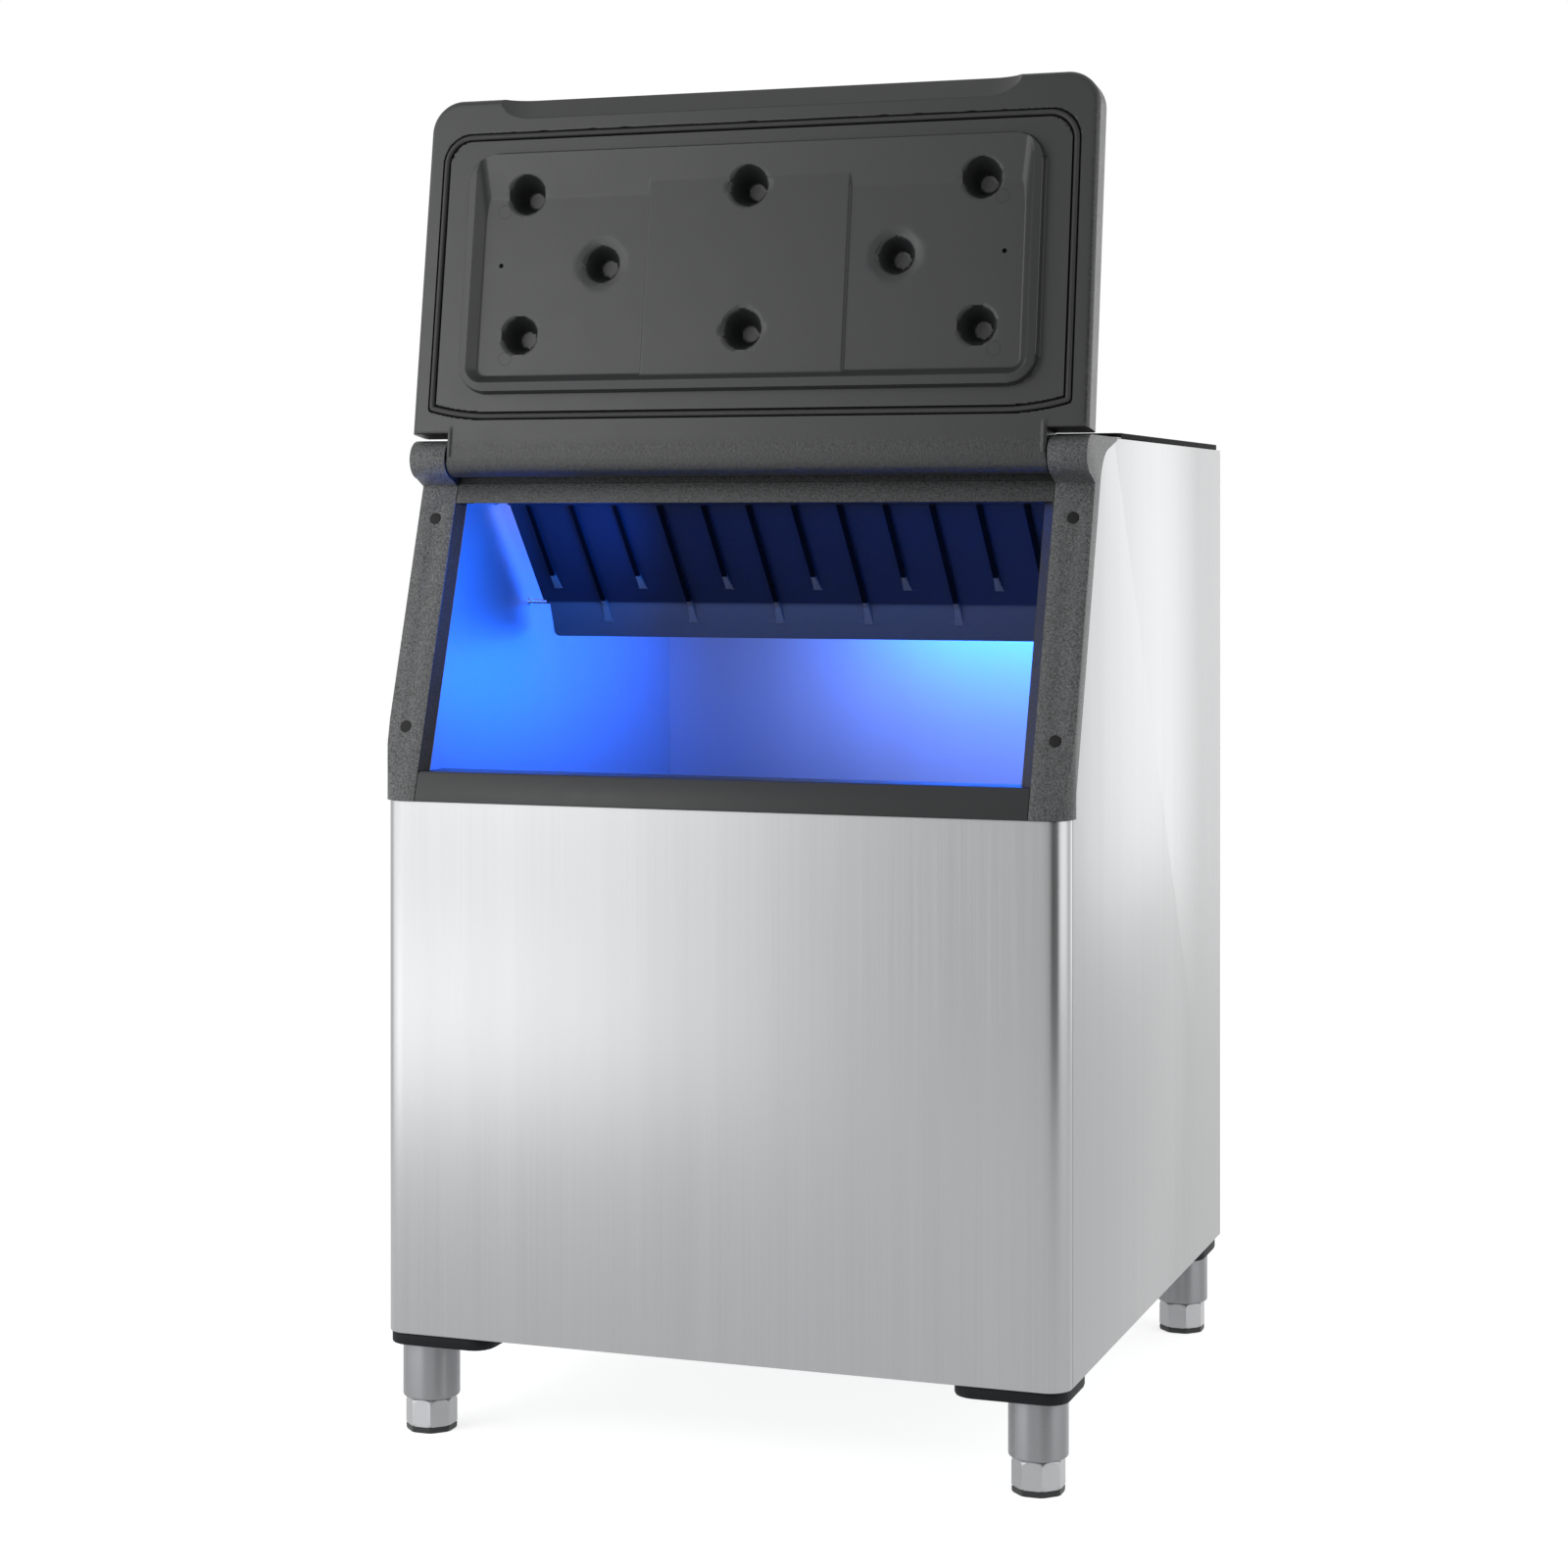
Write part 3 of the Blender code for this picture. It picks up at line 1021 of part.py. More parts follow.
def build_leg_plate(name, sign, at_front):
    """Moulded plate between the base and a leg, following the cabinet's corner."""
    outer = HALF_WIDTH - PLATE_INSET
    span = sorted((sign * outer, sign * (outer - PLATE_LENGTH)))
    front = FRONT_Y + PLATE_INSET
    if not at_front:
        front = BACK_Y - PLATE_INSET - PLATE_DEPTH
    high = PANEL_BOTTOM_Z - GAP
    corner = FRONT_CORNER_RADIUS - PLATE_INSET
    outline = rounded_box(*span, front, front + PLATE_DEPTH, corner)
    plate = plan_solid("leg_plate_" + name, [outline], high - PLATE_HEIGHT, high, SMOOTH_PLASTIC)
    merge_flats(plate)
    edge = plate.modifiers.new("Edge", "BEVEL")
    edge.width = PLATE_END_RADIUS / 2
    edge.segments = 2
    edge.limit_method = "ANGLE"
    edge.angle_limit = BEVEL_ANGLE
    smooth(plate)


def leg_tube():
    """Steel tube, closed above, with a rolled hem and a threaded ring at its lower end."""
    top = PANEL_BOTTOM_Z - PLATE_HEIGHT - 2 * GAP
    inner = TUBE_RADIUS - TUBE_WALL
    bore = STEM_RADIUS + GAP
    low = TUBE_BOTTOM_Z
    hem = arc((TUBE_RADIUS - TUBE_HEM_RADIUS, low + TUBE_HEM_RADIUS), TUBE_HEM_RADIUS, 0, -math.pi / 2, 3)
    profile = [(0, top), (TUBE_RADIUS, top), *hem, (bore, low), (bore, low + SOCKET_HEIGHT),
               (inner, low + SOCKET_HEIGHT), (inner, top - TUBE_CAP), (0, top - TUBE_CAP)]
    return turned("leg_tube", profile, BRUSHED)


def screw_foot():
    """Eight-sided foot whose flats run out into a round shoulder, with its threaded stem."""
    low = SOLE_HEIGHT + GAP
    shoulder = FOOT_TOP_Z - FOOT_SHOULDER
    body = turned("foot", [(0, FOOT_TOP_Z), (FOOT_NECK_RADIUS, FOOT_TOP_Z), (FOOT_RADIUS, shoulder),
                           (FOOT_RADIUS, low), (0, low)], TURNED_STEEL, sides=OCTAGON, collection=CUTTERS)
    stem = turned("stem", [(0, FOOT_TOP_Z + STEM_LENGTH), (STEM_RADIUS, FOOT_TOP_Z + STEM_LENGTH),
                           (STEM_RADIUS, shoulder), (0, shoulder)], None, sides=SIDES, collection=CUTTERS)
    boolean(body, stem, "UNION")
    return body


def foot_sole():
    """Plastic sole under a foot."""
    profile = [(0, SOLE_HEIGHT), (FOOT_RADIUS, SOLE_HEIGHT), (FOOT_RADIUS - SOLE_INSET, 0), (0, 0)]
    return turned("sole", profile, RUBBER, sides=OCTAGON, collection=CUTTERS)


def build_bin():
    """All the pieces of the bin."""
    base = build_cabinet()
    floor = build_liner()
    foam = build_insulation()
    build_rim()
    build_frame()
    build_lid(build_hinge())
    build_baffle()
    build_light()
    build_drain(base, floor, foam)
    build_legs()


build_bin()
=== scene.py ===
"""Dressed scene of an insulated ice storage bin with its lid swung back.

The bin stands on a pale studio floor. The lid, the front sheet, the legs and the small round parts are
worked out here as fine surfaces; the rest keeps its solids and gets its finish and its edge rounding.
Lengths are metres. X runs across the bin, Y from the front to the back, Z up.
"""
import json
import logging
import math
from dataclasses import dataclass, field
from enum import Enum
from functools import partial, reduce

import bpy
import numpy as np
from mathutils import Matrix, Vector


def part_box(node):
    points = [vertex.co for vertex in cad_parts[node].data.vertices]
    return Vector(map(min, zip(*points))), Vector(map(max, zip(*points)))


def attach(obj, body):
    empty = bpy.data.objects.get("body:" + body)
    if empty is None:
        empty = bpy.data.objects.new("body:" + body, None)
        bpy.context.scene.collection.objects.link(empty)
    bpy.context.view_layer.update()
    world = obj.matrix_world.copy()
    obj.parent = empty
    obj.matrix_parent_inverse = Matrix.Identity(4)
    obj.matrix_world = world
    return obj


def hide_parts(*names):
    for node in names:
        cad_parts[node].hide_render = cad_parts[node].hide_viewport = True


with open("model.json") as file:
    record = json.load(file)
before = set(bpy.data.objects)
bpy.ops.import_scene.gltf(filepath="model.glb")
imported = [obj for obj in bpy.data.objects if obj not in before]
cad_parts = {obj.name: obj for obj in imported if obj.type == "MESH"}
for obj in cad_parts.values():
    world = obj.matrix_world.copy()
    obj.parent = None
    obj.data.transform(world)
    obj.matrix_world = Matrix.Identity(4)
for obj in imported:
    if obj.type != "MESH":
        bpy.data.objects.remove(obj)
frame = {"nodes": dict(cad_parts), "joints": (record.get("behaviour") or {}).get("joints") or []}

LOG = logging.getLogger("ice_bin")
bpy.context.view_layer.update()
CABINET = "cabinet"
MM = 0.001
CLOSE = MM / 10
TURN = 2 * math.pi
QUARTER = TURN / 4
SHARP_DEGREES = 35.0

Tree = bpy.types.NodeTree
Node = bpy.types.Node
Socket = bpy.types.NodeSocket
Pair = tuple[float, float]
Triple = tuple[float, float, float]


# Small tools for numbers and meshes


def linear(hex_colour: str) -> tuple[float, float, float, float]:
    """Turns an sRGB hex colour into a linear one.

    Args:
        hex_colour: Six hex digits after a hash sign.

    Returns:
        Linear red, green and blue, and an alpha of 1.
    """
    parts = np.array([int(hex_colour[start:start + 2], 16) for start in (1, 3, 5)]) / 255
    low, high = parts / 12.92, ((parts + 0.055) / 1.055) ** 2.4
    return (*np.where(parts <= 0.04045, low, high).tolist(), 1.0)


def smooth_step(low: float, high: float, value: np.ndarray) -> np.ndarray:
    """Eases from 0 at low to 1 at high, as three squares less two cubes of the share between them."""
    share = np.clip((value - low) / (high - low), 0, 1)
    return share * share * (3 - 2 * share)


def box_distance(x: np.ndarray, y: np.ndarray, centre: float, half_x: float, half_y: float,
                 radius: float) -> np.ndarray:
    """Measures how far points lie outside a round-cornered box that is centred on X.

    Args:
        x: Places across.
        y: Places along.
        centre: The box's middle along Y.
        half_x: Half its width.
        half_y: Half its height.
        radius: Its corner radius.

    Returns:
        The distance, less than 0 inside: the length of the overshoot past the corner centres less the
        radius.
    """
    over_x = np.abs(x) - half_x + radius
    over_y = np.abs(y - centre) - half_y + radius
    outside = np.hypot(np.maximum(over_x, 0), np.maximum(over_y, 0))
    return outside + np.minimum(np.maximum(over_x, over_y), 0) - radius


def spread(bands: list[Pair], start: float = 0.0, spare: float = 0.001) -> np.ndarray:
    """Lays grid lines from a start through bands, each given by its end and its widest step.

    Args:
        bands: End and step of each band, in order.
        start: Where the first band starts.
        spare: Share of a step by which a band may be longer than its steps.

    Returns:
        The lines' places, rising, with each band's end among them.
    """
    lines = [np.array([start])]
    for end, step in bands:
        count = max(1, math.ceil((end - start) / step - spare))
        lines.append(np.linspace(start, end, count + 1)[1:])
        start = end
    return np.concatenate(lines)


def quads(index: np.ndarray, flip: bool = False) -> np.ndarray:
    """Joins a grid of vertex numbers into quads.

    Args:
        index: Vertex numbers by row and column.
        flip: Whether the faces point the other way.

    Returns:
        Four vertex numbers for each cell.
    """
    cells = np.stack([index[:-1, :-1], index[:-1, 1:], index[1:, 1:], index[1:, :-1]], axis=-1)
    cells = cells.reshape(-1, 4)
    return cells[:, ::-1] if flip else cells


def closed(index: np.ndarray) -> np.ndarray:
    """Repeats a grid's first column after its last, so that its cells go all the way round."""
    return np.concatenate([index, index[:, :1]], axis=1)


def make_piece(name: str, points: np.ndarray, faces: list, finish: "Finish", body: str, node: str,
               sharp: float = SHARP_DEGREES, uv: np.ndarray | None = None) -> None:
    """Makes a shown piece from points and faces, dresses it and ties it to its body.

    Args:
        name: The piece's name.
        points: Places of its vertices.
        faces: Arrays of quads and lists of single faces.
        finish: Its finish.
        body: The body that it moves with.
        node: The solid that it replaces.
        sharp: Angle in degrees above which an edge stays sharp.
        uv: Its own coordinates for each vertex, if it has any.
    """
    mesh = bpy.data.meshes.new(name)
    every = [face for group in faces for face in (group.tolist() if isinstance(group, np.ndarray) else group)]
    mesh.from_pydata(points.reshape(-1, 3).tolist(), [], every)
    if uv is not None:
        layer = mesh.uv_layers.new(name="Own")
        corner = np.empty(len(mesh.loops), dtype=np.int32)
        mesh.loops.foreach_get("vertex_index", corner)
        layer.data.foreach_set("uv", uv.reshape(-1, 2)[corner].astype(np.float32).ravel())
    mesh.shade_smooth()
    mesh.set_sharp_from_angle(angle=math.radians(sharp))
    mesh.materials.append(finish.material())
    piece = bpy.data.objects.new(name, mesh)
    bpy.context.scene.collection.objects.link(piece)
    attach(piece, body)
    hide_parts(node)
    LOG.info("%s: %d faces", name, len(every))


def lathe(profile: np.ndarray, sides: int = 64) -> tuple[np.ndarray, list]:
    """Turns a profile of radii and heights round Z.

    A point is (radius cos a, radius sin a, height) for the turn a, and the ends close on the axis or on
    each other.

    Args:
        profile: Radius and height of each point, from the top down the outer side.
        sides: How many steps go round.

    Returns:
        Points by row and step, and the faces.
    """
    turn = np.linspace(0, TURN, sides, endpoint=False)
    radius, height = profile[:, :1], profile[:, 1:]
    points = np.stack([radius * np.cos(turn), radius * np.sin(turn), height + 0 * turn], axis=-1)
    index = np.arange(points.shape[0] * sides).reshape(-1, sides)
    if profile[0, 0] > 0 and np.allclose(profile[0], profile[-1]):
        points = points[:-1]
        index[-1] = index[0]
    return points, [quads(closed(index), flip=True)]


def rounded_profile(corners: list[Triple], steps: int = 5) -> np.ndarray:
    """Rounds the corners of a line of points.

    Each corner becomes an arc that touches both of its sides, at radius over the tangent of half the angle
    between them from the corner.

    Args:
        corners: Radius, height and corner radius of each point; the radius of an end is ignored.
        steps: How many steps an arc takes.

    Returns:
        The rounded line's points.
    """
    places = np.array([corner[:2] for corner in corners], dtype=float)
    line = [places[0]]
    for number in range(1, len(places) - 1):
        round_radius = corners[number][2]
        if round_radius <= 0:
            line.append(places[number])
            continue
        back = places[number - 1] - places[number]
        ahead = places[number + 1] - places[number]
        back /= np.linalg.norm(back)
        ahead /= np.linalg.norm(ahead)
        half = math.acos(np.clip(np.dot(back, ahead), -1, 1)) / 2
        middle = (back + ahead) / np.linalg.norm(back + ahead)
        centre = places[number] + middle * round_radius / math.sin(half)
        first = places[number] + back * round_radius / math.tan(half) - centre
        last = places[number] + ahead * round_radius / math.tan(half) - centre
        share = np.linspace(0, 1, steps + 1)[:, None]
        bend = first * (1 - share) + last * share
        line.extend(centre + bend / np.linalg.norm(bend, axis=1)[:, None] * round_radius)
    line.append(places[-1])
    return np.array(line)


def soften(name: str, width: float, finish: "Finish", segments: int = 3) -> None:
    """Dresses a solid that stays as it is: its finish, and its edges rounded and shaded by modifiers.

    Edges over 30 degrees are rounded, after faces within half a degree have been joined.

    Args:
        name: The solid's node.
        width: Width of the edge rounding, or 0 for none.
        finish: Its finish.
        segments: Steps of the rounding.
    """
    piece = frame["nodes"][name]
    piece.data.materials.clear()
    piece.data.materials.append(finish.material())
    weld = piece.modifiers.new("Weld", "WELD")
    weld.merge_threshold = MM / 100
    if width:
        flat = piece.modifiers.new("Flats", "DECIMATE")
        flat.decimate_type = "DISSOLVE"
        flat.angle_limit = math.radians(0.5)
        edge = piece.modifiers.new("Edges", "BEVEL")
        edge.width = width
        edge.segments = segments
        edge.limit_method = "ANGLE"
        edge.angle_limit = math.radians(30)
    shade = piece.modifiers.new("Shade", "NODES")
    shade.node_group = shading_group()


def shading_group() -> Tree:
    """Makes, once, the group that shades a mesh smooth and keeps its sharp edges sharp."""
    known = bpy.data.node_groups.get("Shade by edge angle")
    if known:
        return known
    tree = bpy.data.node_groups.new("Shade by edge angle", "GeometryNodeTree")
    tree.interface.new_socket("Geometry", in_out="INPUT", socket_type="NodeSocketGeometry")
    tree.interface.new_socket("Geometry", in_out="OUTPUT", socket_type="NodeSocketGeometry")
    net = Network(tree)
    start, angle = net.add("NodeGroupInput"), net.add("GeometryNodeInputMeshEdgeAngle")
    under = net.add("FunctionNodeCompare", {"operation": "LESS_THAN", 1: math.radians(SHARP_DEGREES)},
                    {0: angle.outputs[0]})
    faces = net.add("GeometryNodeSetShadeSmooth", {"domain": "FACE"}, {"Geometry": start.outputs[0]})
    edges = net.add("GeometryNodeSetShadeSmooth", {"domain": "EDGE"},
                    {"Geometry": faces.outputs[0], "Shade Smooth": under.outputs[0]})
    net.add("NodeGroupOutput", {}, {0: edges.outputs[0]})
    return tree


# Materials

# Tint range of a pebbled grain: painted shade in the hollows, painted highlight on the crests.
PAINTED_PEBBLE_LIGHT = (0.1, 1.9)


class Axis(Enum):
    """One of an object's own axes."""

    X = 0
    Y = 1
    Z = 2


@dataclass(frozen=True)
class Network:
    """A node tree, and the sums, colours and patterns that are made in it.

    A source is another node's output. Scales are pattern lengths per metre along X, Y and Z.
    """

    tree: Tree

    @property
    def shader(self) -> Node:
        """The tree's own shader."""
        return self.tree.nodes["Principled BSDF"]

    def add(self, kind: str, settings: dict | None = None, links: dict | None = None) -> Node:
        """Adds a node with its settings and links.

        Args:
            kind: The node's type name.
            settings: Values by input name or number, or by the node's own property name.
            links: Sources by input name or number.

        Returns:
            The new node.
        """
        node = self.tree.nodes.new(kind)
        for key, value in (settings or {}).items():
            if isinstance(key, str) and hasattr(node, key):
                setattr(node, key, value)
            else:
                node.inputs[key].default_value = value
        for key, source in (links or {}).items():
            self.tree.links.new(source, node.inputs[key])
        return node

    def feed(self, name: str, source: Socket) -> None:
        """Links a source to one of the shader's inputs."""
        self.tree.links.new(source, self.shader.inputs[name])

    def combine(self, operation: str, *values: Socket | float) -> Socket:
        """Works out one step of arithmetic.

        Args:
            operation: The math node's operation.
            values: Its inputs in order, each a source or a plain number.

        Returns:
            The result.
        """
        links = {place: value for place, value in enumerate(values) if isinstance(value, Socket)}
        plain = {place: value for place, value in enumerate(values) if place not in links}
        return self.add("ShaderNodeMath", {"operation": operation, **plain}, links).outputs[0]

    def ramp(self, value: Socket, source: Pair = (0.0, 1.0), target: Pair = (0.0, 1.0)) -> Socket:
        """Maps a value evenly from one range onto another, and holds it at their ends.

        Args:
            value: The value.
            source: The range that it comes from.
            target: The range that it goes to.

        Returns:
            The mapped value.
        """
        settings = {1: source[0], 2: source[1], 3: target[0], 4: target[1]}
        return self.add("ShaderNodeMapRange", settings, {0: value}).outputs[0]

    def vary(self, value: Socket, low: float, high: float) -> Socket:
        """Maps the middle half of a noise, 0.25 to 0.75, onto a range."""
        return self.ramp(value, (0.25, 0.75), (low, high))

    def blend(self, share: Socket, first: Socket | str, second: str) -> Socket:
        """Mixes two colours.

        Args:
            share: The second colour's share.
            first: A source, or an sRGB hex colour.
            second: An sRGB hex colour.

        Returns:
            The mixed colour.
        """
        plain = {"data_type": "RGBA", 7: linear(second)}
        if isinstance(first, str):
            return self.add("ShaderNodeMix", plain | {6: linear(first)}, {0: share}).outputs[2]
        return self.add("ShaderNodeMix", plain, {0: share, 6: first}).outputs[2]

    def split(self, vector: Socket) -> tuple[Socket, ...]:
        """Splits a vector into its X, Y and Z."""
        return tuple(self.add("ShaderNodeSeparateXYZ", {}, {0: vector}).outputs)

    def own(self) -> Socket:
        """Gives the piece's own coordinates."""
        return self.add("ShaderNodeUVMap").outputs[0]

    def along_axis(self, axis: Axis, kind: str = "Object") -> Socket:
        """Gives the place, or with "Normal" as its kind the normal, along one of the object's own axes."""
        return self.split(self.add("ShaderNodeTexCoord").outputs[kind])[axis.value]

    def place(self, scale: Triple) -> Socket:
        """Gives the object's coordinates, scaled."""
        where = self.add("ShaderNodeTexCoord").outputs["Object"]
        return self.add("ShaderNodeMapping", {"Scale": scale}, {"Vector": where}).outputs[0]

    def noise(self, scale: Triple, detail: float = 2.0) -> Socket:
        """Makes noise, about 0.5 on average, with so many octaves of finer noise."""
        settings = {"Scale": 1.0, "Detail": detail}
        return self.add("ShaderNodeTexNoise", settings, {"Vector": self.place(scale)}).outputs["Fac"]

    def cells(self, scale: Triple) -> Node:
        """Makes a pattern of cells, each with a colour of its own."""
        return self.add("ShaderNodeTexVoronoi", {"Scale": 1.0}, {"Vector": self.place(scale)})

    def bump(self, height: Socket, depth: float, strength: float = 1.0) -> None:
        """Raises the surface by a height times a depth in metres."""
        settings = {"Distance": depth, "Strength": strength}
        self.feed("Normal", self.add("ShaderNodeBump", settings, {"Height": height}).outputs[0])


def per_metre(across_mm: float, along_mm: float | None = None, run: Axis = Axis.Z) -> Triple:
    """Counts a pattern's lengths in a metre.

    Args:
        across_mm: The pattern's length in millimetres.
        along_mm: Its length along its run, where that differs.
        run: The axis that it runs along.

    Returns:
        The counts along X, Y and Z.
    """
    counts = [1000 / across_mm] * 3
    counts[run.value] = 1000 / (along_mm or across_mm)
    return tuple(counts)


@dataclass(frozen=True)
class Finish:
    """A surface finish; the base of them all."""

    name: str
    colour: str
    roughness: float
    gloss: float = field(default=0.5, kw_only=True)

    def material(self) -> bpy.types.Material:
        """Makes the finish's material, or finds it again."""
        known = bpy.data.materials.get(self.name)
        if known:
            return known
        made = bpy.data.materials.new(self.name)
        made.use_nodes = True
        net = Network(made.node_tree)
        net.shader.inputs["Base Color"].default_value = linear(self.colour)
        net.shader.inputs["Roughness"].default_value = self.roughness
        net.shader.inputs["Specular IOR Level"].default_value = self.gloss
        self.dress(net)
        return made

    def dress(self, net: Network) -> None:
        """Adds the finish's own pattern."""

    def tint(self, net: Network, share: Socket) -> None:
        """Multiplies the base colour by a share."""
        settings = {"operation": "SCALE", 0: linear(self.colour)[:3]}
        net.feed("Base Color", net.add("ShaderNodeVectorMath", settings, {"Scale": share}).outputs[0])

    def roughen(self, net: Network, value: Socket, less: float, more: float) -> None:
        """Varies the roughness with a noise, from so much less to so much more."""
        net.feed("Roughness", net.vary(value, self.roughness - less, self.roughness + more))


@dataclass(frozen=True)
class BrushedStainless(Finish):
    """Stainless sheet drawn past an abrasive belt: fine straight lines that blur what they reflect."""

    run: Axis = Axis.Z
    line_mm: float = 0.9
    length_mm: float = 260.0
    contrast: float = 0.05
    band_mm: float = 24.0
    band_length_mm: float = 1500.0
    line_share: float = 0.65
    uneven: float = 0.04
    scratch: float = 0.00002

    def dress(self, net: Network) -> None:
        """Lines along the run, and wide faint bands from the rolled sheet."""
        net.shader.inputs["Metallic"].default_value = 1.0
        line = net.noise(per_metre(self.line_mm, self.length_mm, self.run), 3.0)
        band = net.noise(per_metre(self.band_mm, self.band_length_mm, self.run), 1.0)
        both = net.combine("MULTIPLY_ADD", band, 1 - self.line_share,
                           net.combine("MULTIPLY", line, self.line_share))
        self.tint(net, net.vary(both, 1 - self.contrast, 1 + self.contrast))
        self.roughen(net, line, self.uneven, self.uneven)
        net.bump(line, self.scratch, 0.5)

    def cover(self, net: Network, share: Socket, painted_shade: str) -> None:
        """Covers the steel, by a share, with a dull painted shade of an sRGB hex colour."""
        steel = net.shader.inputs["Base Color"].links[0].from_socket
        net.feed("Base Color", net.blend(share, steel, painted_shade))
        net.feed("Metallic", net.ramp(share, target=(1.0, 0.0)))


@dataclass(frozen=True)
class SeamShadedStainless(BrushedStainless):
    """Brushed sheet with painted shade: a dark, dull colour on the sunk seam behind its wrapped edges, where
    the gap's shade falls.
    """

    seam: float = -0.35636
    # Colour of the painted shade in the seam's gap.
    painted_shade: str = "#161616"

    def dress(self, net: Network) -> None:
        """Brushed steel, and a dark, dull painted shade behind the seam's place along Y."""
        super().dress(net)
        # Painted shade: the strip behind the seam is coloured dark where the gap would be shaded.
        share = net.ramp(net.along_axis(Axis.Y), (self.seam - CLOSE, self.seam))
        self.cover(net, share, self.painted_shade)


@dataclass(frozen=True)
class EdgeShadedStainless(BrushedStainless):
    """Rolled sheet whose raw front edge, on the faces that look forward, is painted dark as shade."""

    # Colour of the painted shade on the front edge.
    painted_shade: str = "#08090C"
    ahead: Pair = (-0.5, -0.7)

    def dress(self, net: Network) -> None:
        """Brushed steel, and a dull painted shade on the faces that look forward."""
        super().dress(net)
        # Painted shade: faces are darkened by the way they look, not by a coating.
        share = net.ramp(net.along_axis(Axis.Y, "Normal"), self.ahead)
        self.cover(net, share, self.painted_shade)


@dataclass(frozen=True)
class GrainedPlastic(Finish):
    """Plastic moulded in an etched tool: a pebbled grain, its crests painted lighter as highlight and its
    hollows darker as shade.
    """

    grain_mm: float = 2.0
    depth_mm: float = 0.5
    inside: float = 0.0
    painted_mouth_shade: float = 0.12

    def dress(self, net: Network) -> None:
        """Pebbles about twice as wide as the real 0.9 mm grain, which is too fine to show.

        Faces nearer to the middle than the inside's distance, if one is given, are darker: painted shade
        within the mouth.
        """
        height = net.noise(per_metre(self.grain_mm))
        # Painted highlight and shade: the tint follows the bump's height.
        shade = net.vary(height, *PAINTED_PEBBLE_LIGHT)
        if self.inside:
            across = net.combine("ABSOLUTE", net.along_axis(Axis.X))
            # Painted shade: the cheeks' faces inside the mouth are darkened.
            inner = net.ramp(across, (self.inside - 2 * CLOSE, self.inside), (self.painted_mouth_shade, 1.0))
            shade = net.combine("MULTIPLY", shade, inner)
        self.tint(net, shade)
        net.bump(height, self.depth_mm * MM)


@dataclass(frozen=True)
class SatinPlastic(Finish):
    """Plastic from a stoned tool: nearly smooth, with a faint unevenness in its sheen."""

    cloud_mm: float = 18.0
    peel_mm: float = 1.6
    peel_depth: float = 0.00003
    uneven: float = 0.03

    def dress(self, net: Network) -> None:
        """A cloudy sheen and a very shallow orange peel."""
        cloud = net.noise(per_metre(self.cloud_mm), 3.0)
        self.roughen(net, cloud, self.uneven, self.uneven)
        net.bump(net.noise(per_metre(self.peel_mm)), self.peel_depth, 0.5)


@dataclass(frozen=True)
class MouldedBaffle(SatinPlastic):
    """Semi-gloss polyethylene: the ribs' crests painted dull and nearly black as shade, their feet and the
    lip painted paler as light.
    """

    # Painted shade on the ribs' crests; painted light on their feet and on the lip.
    crests: str = "#030405"
    feet: str = "#57574F"
    lip: str = "#3F403E"
    bend: float = 0.8965
    crest_shade_gloss: float = 0.04

    def dress(self, net: Network) -> None:
        """Satin skin; the piece's own coordinates tell crests, painted dark as shade, and feet, painted pale
        as light; the lip below the bend is painted pale as light.
        """
        super().dress(net)
        crest, foot, _ = net.split(net.own())
        above = net.ramp(net.along_axis(Axis.Z), (self.bend - MM, self.bend + MM))
        colour = net.blend(above, self.lip, self.colour)
        colour = net.blend(crest, colour, self.crests)
        colour = net.blend(foot, colour, self.feet)
        net.feed("Base Color", colour)
        # Painted shade: the crests also lose their sheen.
        net.feed("Specular IOR Level", net.ramp(crest, target=(self.gloss, self.crest_shade_gloss)))


